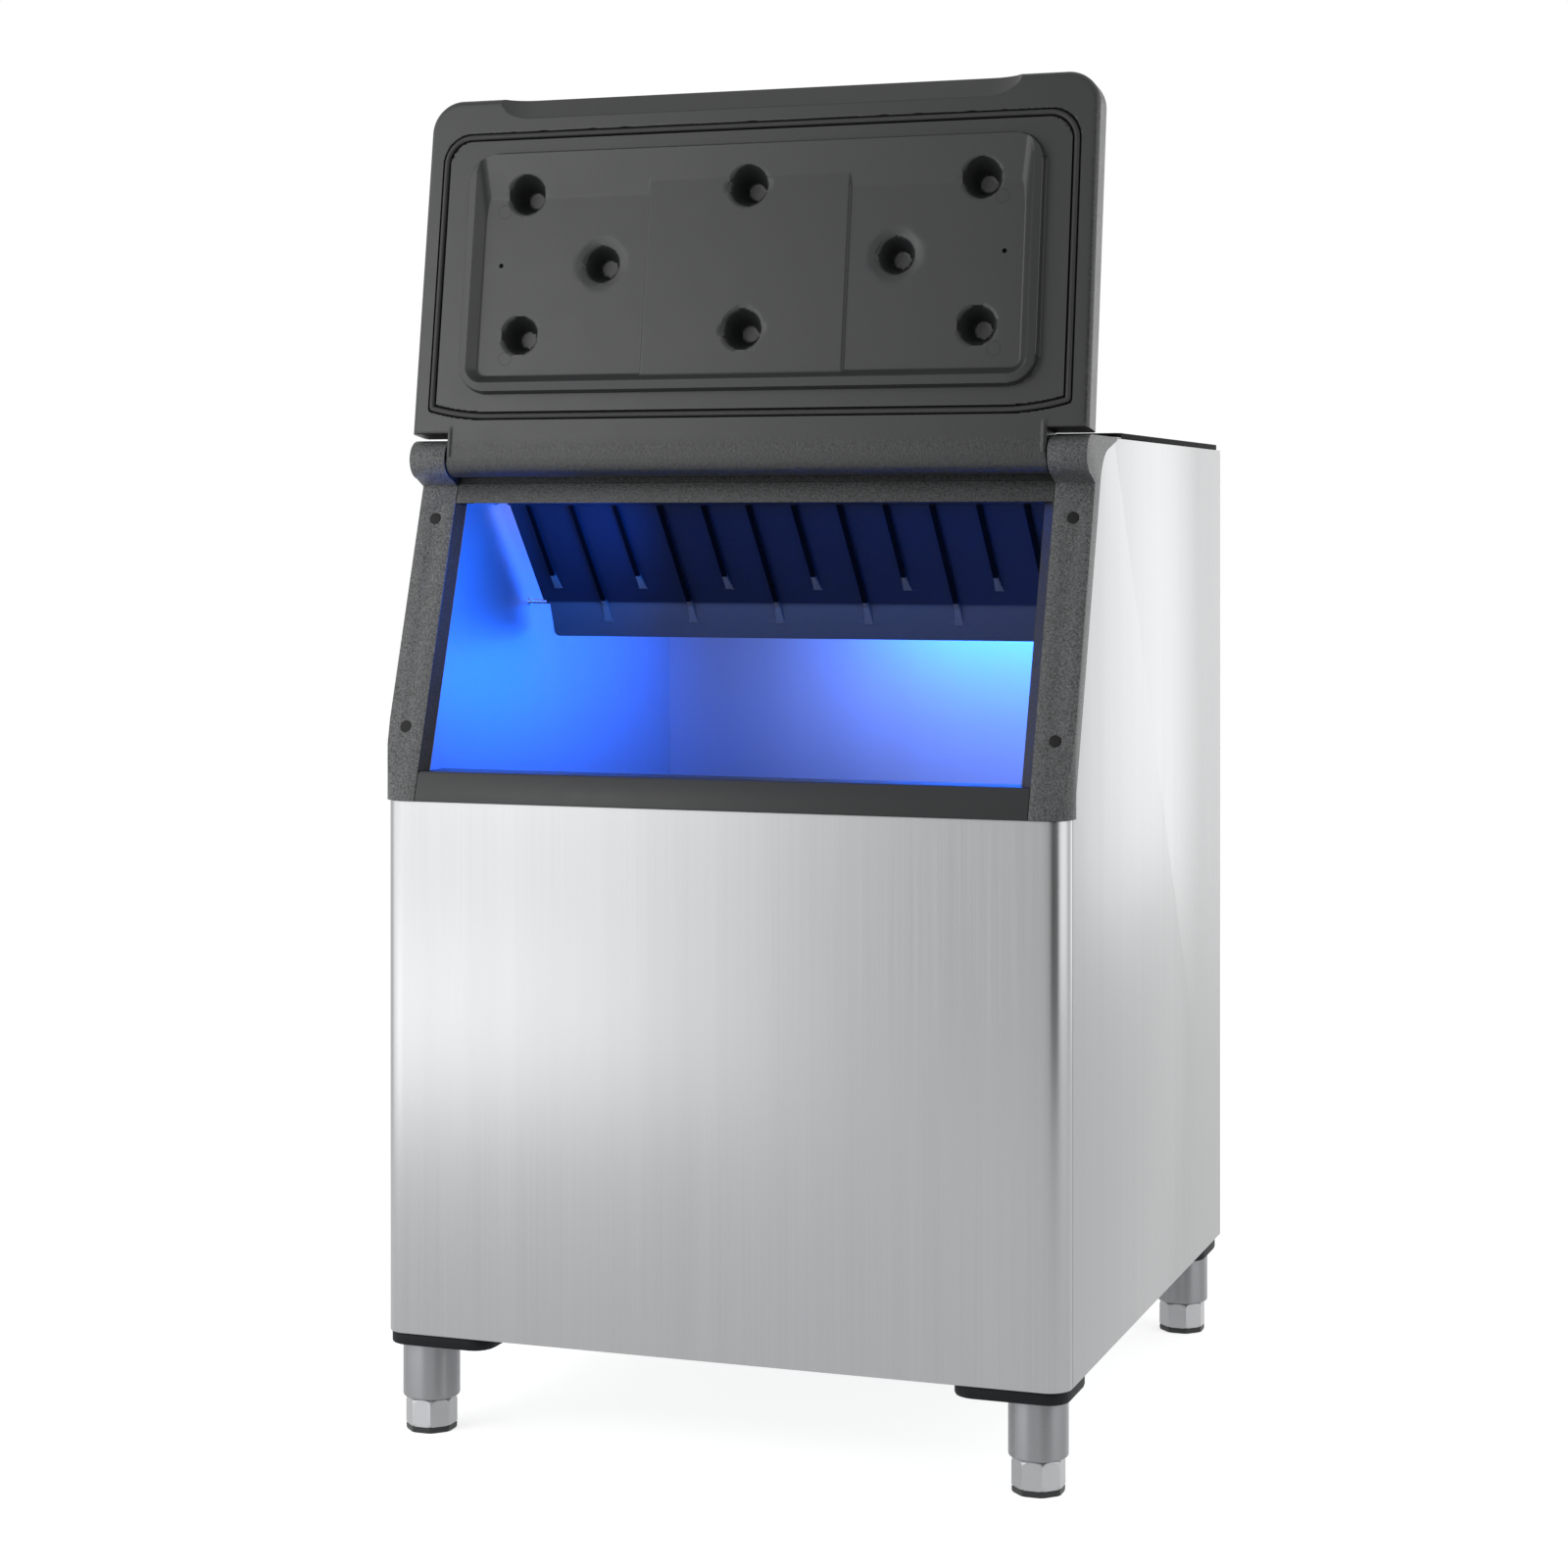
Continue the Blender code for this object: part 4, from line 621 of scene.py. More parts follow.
@dataclass(frozen=True)
class BlownLidPlastic(Finish):
    """Polyethylene blown in a mould: satin, soft in its sheen, with a grained knuckle and ejector marks."""

    marks: tuple[Pair, ...] = ((-0.287, 0.275), (0.284, 0.273), (-0.277, 0.109), (0.2805, 0.110))
    mark_radius: float = 0.0075
    mark_line: float = 0.6 * MM
    painted_ring_shade: float = 0.5
    vents: tuple[Pair, ...] = ((-0.288, 0.2138), (0.288, 0.2138))
    vent_radius: float = 0.0026
    vent_edge: float = 0.3 * MM
    painted_vent_shadow: float = 0.05
    grain_mm: float = 2.8
    grain_depth: float = 0.0005
    grain_top: float = 0.012
    grain_top_fade: float = 0.008
    grain_side: float = 0.378
    grain_side_fade: float = 0.003
    grain_least: float = 0.05
    cloud_mm: float = 40.0
    cloud_shades: Pair = (0.96, 1.04)
    uneven: float = 0.02

    def dress(self, net: Network) -> None:
        """Grain on the knuckle and the sides, its specks painted as highlight and shade; rings at the marks,
        darkened as painted shade; dark dots at the vents, painted shade for uncut holes.
        """
        own = net.own()
        across, along, _ = net.split(own)
        shares = (self.grain_least, 1.0)
        knuckle = net.ramp(along, (self.grain_top + self.grain_top_fade, self.grain_top), shares)
        side = net.ramp(net.combine("ABSOLUTE", across),
                        (self.grain_side, self.grain_side + self.grain_side_fade), shares)
        grained = net.combine("MAXIMUM", knuckle, side)
        grain = net.noise(per_metre(self.grain_mm), 4.0)
        ring = self.rings(net, own)
        height = net.combine("SUBTRACT", net.combine("MULTIPLY", grain, grained), ring)
        net.bump(height, self.grain_depth)
        cloud = net.noise(per_metre(self.cloud_mm))
        # Painted shade: dark dots without sheen stand for the vent holes, which are not cut.
        vent_shadow_share = self.vent_shadow_dots(net, own)
        net.feed("Specular IOR Level", net.ramp(vent_shadow_share, target=(0.0, self.gloss)))
        # Painted shade: the rings' grooves are darkened as well as bumped.
        groove = net.ramp(ring, target=(1.0, self.painted_ring_shade))
        # Painted highlight and shade on the grain, the tint following its height.
        grain_light_and_shade = net.add("ShaderNodeMix", {"data_type": "FLOAT", 2: 1.0},
                        {0: grained, 3: net.vary(grain, *PAINTED_PEBBLE_LIGHT)}).outputs[0]
        shades = (net.vary(cloud, *self.cloud_shades), vent_shadow_share, groove, grain_light_and_shade)
        self.tint(net, reduce(partial(net.combine, "MULTIPLY"), shades))
        self.roughen(net, cloud, self.uneven, self.uneven)

    def apart(self, net: Network, own: Socket, spot: Pair) -> Socket:
        """Distance on the lid's own coordinates to a spot."""
        settings = {"operation": "DISTANCE", 1: (*spot, 0)}
        return net.add("ShaderNodeVectorMath", settings, {0: own}).outputs["Value"]

    def rings(self, net: Network, own: Socket) -> Socket:
        """Sums, over the marks, 1 within the line's half width of the mark's circle and 0 elsewhere."""
        near = [net.combine("COMPARE", self.apart(net, own, spot), self.mark_radius, self.mark_line)
                for spot in self.marks]
        return reduce(partial(net.combine, "ADD"), near)

    def vent_shadow_dots(self, net: Network, own: Socket) -> Socket:
        """Multiplies, over the vents, the vent's painted shadow inside its radius and 1 outside."""
        edge = (self.vent_radius - self.vent_edge, self.vent_radius + self.vent_edge)
        shades = [net.ramp(self.apart(net, own, spot), edge, (self.painted_vent_shadow, 1.0)) for spot in self.vents]
        return reduce(partial(net.combine, "MULTIPLY"), shades)


@dataclass(frozen=True)
class TurnedSteel(Finish):
    """Steel turned on a lathe and polished: bright, with faint rings across its axis."""

    run: Axis = Axis.Z
    stretch: float = 0.0
    ring_mm: float = 0.6
    fade_mm: float = 60.0
    uneven: Pair = (0.05, 0.08)
    scratch: float = 0.00001

    def dress(self, net: Network) -> None:
        """Rings drawn wider than the real feed; a stretch draws reflections out along the axis."""
        net.shader.inputs["Metallic"].default_value = 1.0
        if self.stretch:
            net.shader.inputs["Anisotropic"].default_value = self.stretch
            net.shader.inputs["Anisotropic Rotation"].default_value = 0.25
            settings = {"direction_type": "RADIAL", "axis": self.run.name}
            net.feed("Tangent", net.add("ShaderNodeTangent", settings).outputs[0])
        ring = net.noise(per_metre(self.fade_mm, self.ring_mm, self.run))
        self.roughen(net, ring, *self.uneven)
        net.bump(ring, self.scratch, 0.4)


@dataclass(frozen=True)
class GalvanisedSheet(Finish):
    """Hot-dipped zinc on steel: dull grey, with large angular spangles of differing brightness."""

    spangle_mm: float = 9.0
    shades: Pair = (0.85, 1.1)
    uneven: float = 0.08

    def dress(self, net: Network) -> None:
        """Spangles that differ in colour and in sheen."""
        net.shader.inputs["Metallic"].default_value = 1.0
        cell = net.cells(per_metre(self.spangle_mm)).outputs["Color"]
        grey = net.add("ShaderNodeSeparateColor", {}, {0: cell}).outputs[0]
        self.tint(net, net.ramp(grey, target=self.shades))
        rough = net.ramp(grey, target=(self.roughness - self.uneven, self.roughness + self.uneven))
        net.feed("Roughness", rough)


@dataclass(frozen=True)
class PouredFoam(Finish):
    """Rigid polyurethane poured between the sheets: pale yellow, dull, with a skin of fine cells."""

    blotch_mm: float = 30.0
    shades: Pair = (0.9, 1.08)
    cell_mm: float = 1.5
    cell_depth: float = 0.0004

    def dress(self, net: Network) -> None:
        """Fine cells and slow blotches."""
        blotch = net.noise(per_metre(self.blotch_mm), 3.0)
        self.tint(net, net.vary(blotch, *self.shades))
        cell = net.cells(per_metre(self.cell_mm)).outputs["Distance"]
        net.bump(cell, self.cell_depth, 0.6)


@dataclass(frozen=True)
class LitLens(Finish):
    """Frosted polycarbonate over a row of blue diodes: glows evenly."""

    glow: str = "#2A6CFF"
    strength: float = 14.0
    dip: float = 0.8
    diode_mm: float = 16.0

    def dress(self, net: Network) -> None:
        """Glow that dips a little between the diodes."""
        net.shader.inputs["Emission Color"].default_value = linear(self.glow)
        wave = net.add("ShaderNodeTexWave", {"Scale": 1.0, "bands_direction": "X"},
                       {"Vector": net.place(per_metre(self.diode_mm))})
        strength = net.vary(wave.outputs["Fac"], self.strength * self.dip, self.strength)
        net.feed("Emission Strength", strength)


OUTER_STEEL = BrushedStainless("Stainless sheet, belt brushed", "#9E9FA0", 0.33, Axis.Z, 1.5, 400.0, 0.06)
FRONT_STEEL = SeamShadedStainless("Stainless sheet, belt brushed, seams sealed", OUTER_STEEL.colour,
                               OUTER_STEEL.roughness, Axis.Z, 1.5, 400.0, 0.06)
LEG_STEEL = TurnedSteel("Stainless tube, brushed round", "#848587", 0.36, Axis.Z, 0.8)
LINER_STEEL = BrushedStainless("Stainless sheet, cold rolled", "#AEB3BE", 0.42, Axis.Z, 0.7, 180.0, 0.03)
LINER_SIDE = EdgeShadedStainless("Stainless sheet, cold rolled, front edge sealed", LINER_STEEL.colour,
                             LINER_STEEL.roughness, Axis.Z, 0.7, 180.0, 0.03)
ZINC_SHEET = GalvanisedSheet("Galvanised sheet, hot dipped", "#9A9DA0", 0.5)
GRAINED = GrainedPlastic("ABS, moulded with a pebble grain", "#3A3B3C", 0.5, gloss=0.35)
CHEEK_PLASTIC = GrainedPlastic("ABS, moulded with a pebble grain, darker within the mouth", "#515253", 0.5,
                               inside=0.3424, gloss=0.35)
LID_PLASTIC = BlownLidPlastic("Polyethylene, blown, satin", "#252627", 0.4, gloss=0.45)
SMOOTH_PLASTIC = SatinPlastic("ABS, moulded smooth", "#2C2D2E", 0.4, gloss=0.3)
PLATE_PLASTIC = SatinPlastic("Filled nylon, moulded", "#0E1114", 0.62, gloss=0.2)
BAFFLE_PLASTIC = MouldedBaffle("Polyethylene, moulded, semi-gloss", "#141820", 0.34, gloss=0.35)
RIM_PLASTIC = SatinPlastic("Foamed gasket strip, dull", "#0A0A0B", 0.8, gloss=0.1)
CAP_PLASTIC = SatinPlastic("Nylon caps, moulded", "#0C0C0D", 0.5, gloss=0.2)
SOLE_PLASTIC = SatinPlastic("Polyethylene soles, moulded", "#17181A", 0.5)
SEAL_RUBBER = SatinPlastic("EPDM rubber, extruded", "#1A1A1B", 0.6)
WHITE_PLASTIC = SatinPlastic("PVC, moulded white", "#E4E5E3", 0.35)
FOOT_STEEL = TurnedSteel("Stainless bar, turned and polished", "#A2A3A5", 0.34, Axis.Z, 0.8)
PIN_STEEL = TurnedSteel("Steel pins, turned", "#B4B5B8", 0.25, Axis.X)
CHANNEL_METAL = BrushedStainless("Aluminium, extruded and anodised", "#B9BABD", 0.4, Axis.X, 0.8, 200.0, 0.03)
FOAM = PouredFoam("Polyurethane foam, poured", "#DCCB93", 0.9)
LENS = LitLens("Polycarbonate lens, frosted, lit blue", "#3F78FF", 0.35)


# The bin's pieces


def low(node: str) -> np.ndarray:
    """Lowest corner of a solid at rest."""
    return np.array(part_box(node)[0])


def high(node: str) -> np.ndarray:
    """Highest corner of a solid at rest."""
    return np.array(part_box(node)[1])


def middle(node: str) -> np.ndarray:
    """Middle of a solid at rest."""
    return (low(node) + high(node)) / 2


@dataclass
class Cabinet:
    """Outer steel, base, back and cover."""

    corner: float = 0.025
    sheet: float = 0.001
    hem: float = 0.00049
    seam_width: float = 0.0020
    seam_depth: float = 0.0008
    seam_slope: float = 0.0002
    corner_steps: int = 20
    edge: float = 0.00045

    def build(self) -> None:
        """Builds the wrapped front and dresses the other sheets."""
        self.build_front()
        for name in ("side_panel_left", "side_panel_right", "header_cover"):
            soften(name, self.edge, OUTER_STEEL, 2)
        for name in ("back_panel", "base_pan"):
            soften(name, 0.0, ZINC_SHEET)
        for side in ("left", "right", "front", "back", "floor", "header"):
            soften("foam_" + side, 0.0, FOAM)

    def build_front(self) -> None:
        """Front sheet: a closed section of the sheet's outside, edges and inside, along a plan line.

        The plan line runs from the seam's sunk edge forward, round a quarter circle, across, round another
        and back. A point is the plan point less the section's depth along the line's outward normal, at the
        section's height.
        """
        start, end = low("front_panel"), high("front_panel")
        side, front, back = end[0], start[1], end[1]
        bend = np.linspace(0, QUARTER, self.corner_steps + 1)
        low_x, step = side - self.seam_depth, back - self.seam_width
        x = np.concatenate([[low_x, low_x, side], side - self.corner + self.corner * np.cos(bend)])
        y = np.concatenate([[back, step, step - self.seam_slope],
                            front + self.corner - self.corner * np.sin(bend)])
        across = np.concatenate([[1.0, 1.0, 1.0], np.cos(bend)])
        ahead = np.concatenate([[0.0, 0.0, 0.0], np.sin(bend)])
        x, y = np.concatenate([x, -x[::-1]]), np.concatenate([y, y[::-1]])
        across, ahead = np.concatenate([across, -across[::-1]]), np.concatenate([ahead, ahead[::-1]])
        turn = np.linspace(0, QUARTER, 4)
        top, foot = end[2], start[2]
        radius = self.hem
        outer_depth = radius - radius * np.cos(turn)
        depth = np.concatenate([outer_depth[::-1], outer_depth, self.sheet - outer_depth[::-1],
                                self.sheet - outer_depth])
        rise = radius * np.sin(turn)
        height = np.concatenate([foot + radius - rise[::-1], top - radius + rise, top - radius + rise[::-1],
                                 foot + radius - rise])
        points = np.stack([x[:, None] - across[:, None] * depth, y[:, None] + ahead[:, None] * depth,
                           height + 0 * x[:, None]], axis=-1)
        index = np.arange(len(x) * len(height)).reshape(len(x), -1)
        caps = [index[0][::-1].tolist(), index[-1].tolist()]
        make_piece("Front_sheet", points, [quads(closed(index)), caps], FRONT_STEEL, CABINET,
                   "front_panel")


@dataclass
class MouthFrame:
    """Cheeks with their hinge ears, the bar, the sill and the screw caps."""

    edge: float = 0.0008
    cap_radius: float = 0.0062
    cap_height: float = 0.0012
    cap_round: float = 0.0003
    cap_sides: int = 48
    slant: float = math.radians(18)

    def build(self) -> None:
        """Dresses the frame and builds the caps."""
        for name in ("cheek_left", "cheek_right"):
            soften(name, self.edge, CHEEK_PLASTIC)
        soften("top_bar", self.edge, GRAINED)
        soften("sill", self.edge, SMOOTH_PLASTIC)
        soften("top_rim", self.edge, RIM_PLASTIC)
        for side in ("left", "right"):
            for level in ("upper", "lower"):
                self.build_cap("screw_cap_%s_%s" % (side, level))

    def build_cap(self, node: str) -> None:
        """Screw cap: a lathe profile with a round rim, tipped to the slanted face."""
        half = self.cap_height / 2
        outline = rounded_profile([(0, half, 0), (self.cap_radius, half, self.cap_round),
                                   (self.cap_radius, -half, 0), (0, -half, 0)])
        points, faces = lathe(outline, self.cap_sides)
        across, along, up = points[..., 0], points[..., 1], points[..., 2]
        lean = QUARTER - self.slant
        tipped = np.stack([across, along * math.cos(lean) - up * math.sin(lean),
                           along * math.sin(lean) + up * math.cos(lean)], axis=-1) + middle(node)
        make_piece(node.title(), tipped, faces, CAP_PLASTIC, CABINET, node)


@dataclass
class Liner:
    """Steel tub, the tray over the mouth, the light and the drain."""

    bore: float = 0.0125
    drain_radius: float = 0.0165
    flange_radius: float = 0.030
    flange: float = 0.0025
    flange_round: float = 0.001
    under_round: float = 0.0005
    pipe_round: float = 0.0006
    join: float = 0.004
    channel_edge: float = 0.0002
    nut_edge: float = 0.0008

    def build(self) -> None:
        """Dresses the sheets, the light and the drain."""
        for name in ("liner_front", "liner_back", "liner_floor", "header_tray"):
            soften(name, 0.0, LINER_STEEL)
        for name in ("liner_left", "liner_right"):
            soften(name, 0.0, LINER_SIDE)
        soften("led_channel", self.channel_edge, CHANNEL_METAL, 2)
        soften("led_lens", 0.0, LENS)
        soften("drain_strainer", 0.0, WHITE_PLASTIC)
        soften("drain_nut", self.nut_edge, WHITE_PLASTIC)
        self.build_fitting()

    def build_fitting(self) -> None:
        """Drain fitting: a flange, a pipe and their bore, turned round the drain's axis."""
        foot, top = low("drain_fitting")[2], high("drain_fitting")[2]
        step, first = top - self.flange, (self.bore, top - self.join, 0)
        outline = rounded_profile([
            first, (self.bore, top, self.flange_round), (self.flange_radius, top, self.flange_round),
            (self.flange_radius, step, self.under_round), (self.drain_radius, step, 0),
            (self.drain_radius, foot, self.pipe_round), (self.bore, foot, self.pipe_round), first])
        points, faces = lathe(outline)
        make_piece("Drain_fitting", points + middle("drain_fitting") * [1, 1, 0], faces, WHITE_PLASTIC,
                   CABINET, "drain_fitting")


@dataclass
class Baffle:
    """Hanging ribbed baffle with its pins and rests."""

    axis: Pair = (-0.19756, 1.013)
    half_width: float = 0.315
    lip_half_width: float = 0.308
    ribbed_half: float = 0.2962
    half_sheet: float = 0.0015
    barrel: float = 0.0055
    bore: float = 0.0032
    bore_depth: float = 0.012
    length: float = 0.1546
    lip: float = 0.0418
    lean: float = math.radians(40.8)
    lip_lean: float = math.radians(21.0)
    bend: float = 0.004
    corner: float = 0.006
    ribs: int = 12
    spacing: float = 0.0528
    rib_half: float = 0.0026
    rib_height: float = 0.005
    rib_start: float = 0.002
    reaches: Pair = (0.108, 0.147)
    feet: Pair = (0.023, 0.031)
    foot_half: float = 0.0050
    foot_step: float = 0.14
    flank: float = 0.0002
    flank_fade: float = 0.0003
    head_fade: float = 0.0008
    end_fade: float = 0.0006
    lip_step: float = 0.0012
    fine_from: float = 0.104
    steps: Triple = (0.003, 0.0012, 0.0004)
    step_lines: Pair = (0.001, 0.0014)
    rib_lines: tuple[float, ...] = (0.0015, 0.0022, 0.0025, 0.0028, 0.0034, 0.0041, 0.0048, 0.0056, 0.018)
    end_lines: tuple[float, ...] = (0.300, 0.305, 0.310)

    def build(self) -> None:
        """Builds the baffle and dresses the pins, its own and the lid's."""
        self.build_plate()
        for side in ("left", "right"):
            soften("baffle_pin_" + side, 0.0, PIN_STEEL)
            soften("baffle_rest_" + side, 0.0, PIN_STEEL)
            soften("hinge_pin_" + side, 0.0, PIN_STEEL)

    def down_lines(self) -> np.ndarray:
        """Distances down the plate from its axis, closer round barrel, bore, rib ends, lip step and tip."""
        hole = math.asin(self.bore / self.barrel)
        tip = self.length + self.lip
        leave = math.acos(self.half_sheet / self.barrel)
        barrel = np.concatenate([self.barrel * np.sin(np.linspace(-QUARTER, -hole, 7)),
                                 self.bore * np.sin(np.linspace(-QUARTER, QUARTER, 13))[1:],
                                 self.barrel * np.sin(np.linspace(hole, leave, 5))[1:]])
        (coarse, fine, finest), (before, after) = self.steps, self.step_lines
        plate = spread([(self.fine_from, coarse), (self.length + before, fine), (self.length + after, finest),
                        (tip - self.half_sheet, fine)], barrel[-1])[1:]
        return np.concatenate([barrel, plate, tip - self.half_sheet
                               + self.half_sheet * np.sin(np.linspace(0, QUARTER, 6))[1:]])

    def across_lines(self) -> np.ndarray:
        """Places across: seventeen lines over each rib, two between two ribs and a few beyond the last."""
        steps = np.array(self.rib_lines)
        steps = np.concatenate([-steps[::-1], [0.0], steps])
        middles = (np.arange(self.ribs) - (self.ribs - 1) / 2) * self.spacing
        lines = (middles[:, None] + steps).ravel()
        lines = lines[np.abs(lines) < self.ribbed_half]
        ends = np.array([self.ribbed_half, *self.end_lines, self.half_width])
        return np.concatenate([-ends[::-1], lines, ends])

    def ribbing(self, x: np.ndarray, down: np.ndarray) -> tuple[np.ndarray, np.ndarray]:
        """Ribs on the plate's front.

        A rib is full height from its head to its reach, then falls evenly over its foot to a small step while
        it widens. Its share across is 1 up to its half width and falls to 0 just past it.

        Args:
            x: Places across.
            down: Distances down the plate.

        Returns:
            The height, and the shares of crest and of foot, stacked last, which carry the painted shade and
            light.
        """
        number = np.clip(np.round(x / self.spacing + (self.ribs - 1) / 2), 0, self.ribs - 1)
        off = np.abs(x - (number - (self.ribs - 1) / 2) * self.spacing)
        reach = np.where(number % 2 == 1, self.reaches[1], self.reaches[0])
        foot = np.where(number % 2 == 1, self.feet[1], self.feet[0])
        share = np.clip((down - reach) / foot, 0, 1)
        half = self.rib_half + (self.foot_half - self.rib_half) * share
        across = np.clip((half + self.flank - off) / self.flank_fade, 0, 1)
        head = np.clip((down - self.rib_start) / self.head_fade, 0, 1)
        end = np.clip((reach + foot + self.end_fade - down) / self.end_fade, 0, 1)
        height = self.rib_height * across * head * end * (1 - (1 - self.foot_step) * share)
        on_foot = across * end * (share > 0)
        return height, np.stack([across * head * (share <= 0), on_foot], axis=-1)

    def build_plate(self) -> None:
        """Plate: a thick curve from the barrel's top to the lip's tip, swept across, with a bore in each end.

        The middle line leans at one angle to the bend and at another past it. A point is the middle line's
        plus or minus the thickness, and on the front also the ribbing, along the line's normal. Beyond the
        last rib the sweep is squeezed to the width that the lip's step and round corners leave.
        """
        x, down = self.across_lines(), self.down_lines()
        lean = self.lean + (self.lip_lean - self.lean) * smooth_step(self.length - self.bend,
                                                                     self.length + self.bend, down)
        step, mid = np.diff(down, prepend=down[0]), (lean + np.concatenate([lean[:1], lean[:-1]])) / 2
        line_y, line_z = np.cumsum(step * np.sin(mid)), np.cumsum(-step * np.cos(mid))
        zero = int(np.argmin(np.abs(down)))
        line_y, line_z = line_y - line_y[zero] + self.axis[0], line_z - line_z[zero] + self.axis[1]
        tip = self.length + self.lip
        thick = np.maximum(self.half_sheet, np.sqrt(np.maximum(self.barrel ** 2 - down ** 2, 0)))
        thick[0] = 0.0
        past = np.clip(down - tip + self.half_sheet, 0, self.half_sheet)
        thick = np.where(past > 0, np.sqrt(self.half_sheet ** 2 - past ** 2), thick)
        turned = np.clip(down - tip + self.corner, 0, self.corner)
        width = (np.where(down < self.length + self.lip_step, self.half_width, self.lip_half_width)
                 - self.corner + np.sqrt(self.corner ** 2 - turned ** 2))

        def place(across: np.ndarray, column: np.ndarray, out: np.ndarray) -> np.ndarray:
            """Points at places across, by the middle line's number and the distance ahead of it."""
            outer = np.maximum(np.abs(across) - self.ribbed_half, 0) * (width[column] - self.ribbed_half) / (
                self.half_width - self.ribbed_half)
            squeezed = np.sign(across) * (np.minimum(np.abs(across), self.ribbed_half) + outer)
            return np.stack([squeezed + 0 * out, line_y[column] - out * np.cos(lean[column]),
                             line_z[column] - out * np.sin(lean[column])], axis=-1)

        count = len(down)
        front, back = np.arange(count), np.arange(count - 2, 0, -1)
        height, shade_and_light_shares = self.ribbing(x[:, None] + 0 * down, down + 0 * x[:, None])
        ahead = np.maximum(thick, (self.half_sheet + height) * (down > 0))
        points = np.concatenate([place(x[:, None], front, ahead),
                                 place(x[:, None], back, -thick[back] + 0 * x[:, None])], axis=1)
        own = np.concatenate([shade_and_light_shares, np.zeros((len(x), len(back), 2))], axis=1).reshape(-1, 2)
        index = np.arange(len(x) * (2 * count - 2)).reshape(len(x), -1)
        faces, every = [quads(closed(index))], [points.reshape(-1, 3)]
        first, last = int(np.argmin(np.abs(down + self.bore))), int(np.argmin(np.abs(down - self.bore)))
        hole = np.concatenate([np.arange(first, last + 1), np.arange(last - 1, first, -1)])
        bulge = np.sqrt(np.maximum(self.bore ** 2 - down[hole] ** 2, 0))
        bulge[last - first + 1:] *= -1
        made = index.size
        for row, end in ((0, -1.0), (len(x) - 1, 1.0)):
            rims = [place(np.array(end * reach), hole, bulge)
                    for reach in (self.half_width, self.half_width - self.bore_depth)]
            every.append(np.concatenate(rims))
            ring = made + np.arange(2 * len(hole)).reshape(2, -1)
            made += ring.size
            faces += self.cap(index[row], count, first, last, ring, end < 0)
        points = np.concatenate(every)
        own = np.concatenate([own, np.zeros((len(points) - len(own), 2))])
        make_piece("Baffle_ribbed", points, faces, BAFFLE_PLASTIC, "baffle", "baffle",
                   uv=own)

    def cap(self, row: np.ndarray, count: int, first: int, last: int, ring: np.ndarray, flip: bool) -> list:
        """Closes one end of the plate round its bore.

        Args:
            row: Vertex numbers round the end, down the front and up the back.
            count: How many of them are on the front.
            first: The line where the bore starts.
            last: The line where it ends.
            ring: Vertex numbers of the bore's rim and of its bottom.
            flip: Whether the end faces to the left.

        Returns:
            The faces.
        """
        front = row[:count]
        back = np.concatenate([row[:1], row[count:][::-1], row[count - 1:count]])
        half = last - first
        ahead, behind = ring[0, :half + 1], np.concatenate([ring[0, :1], ring[0, half:][::-1]])
        pairs = [(front[1:first], back[1:first]), (front[last + 1:-1], back[last + 1:-1]),
                 (front[first:last + 1], ahead), (behind, back[first:last + 1])]
        strips = [*(np.stack(pair) for pair in pairs), closed(ring)]
        single = [[front[0], front[1], back[1]], [front[-2], front[-1], back[-2]],
                  [front[first - 1], front[first], ring[0, 0], back[first], back[first - 1]],
                  [front[last], front[last + 1], back[last + 1], back[last], ring[0, half]], list(ring[1])]
        single = [[int(number) for number in (face[::-1] if flip else face)] for face in single]
        return [quads(strip, flip) for strip in strips] + [single]


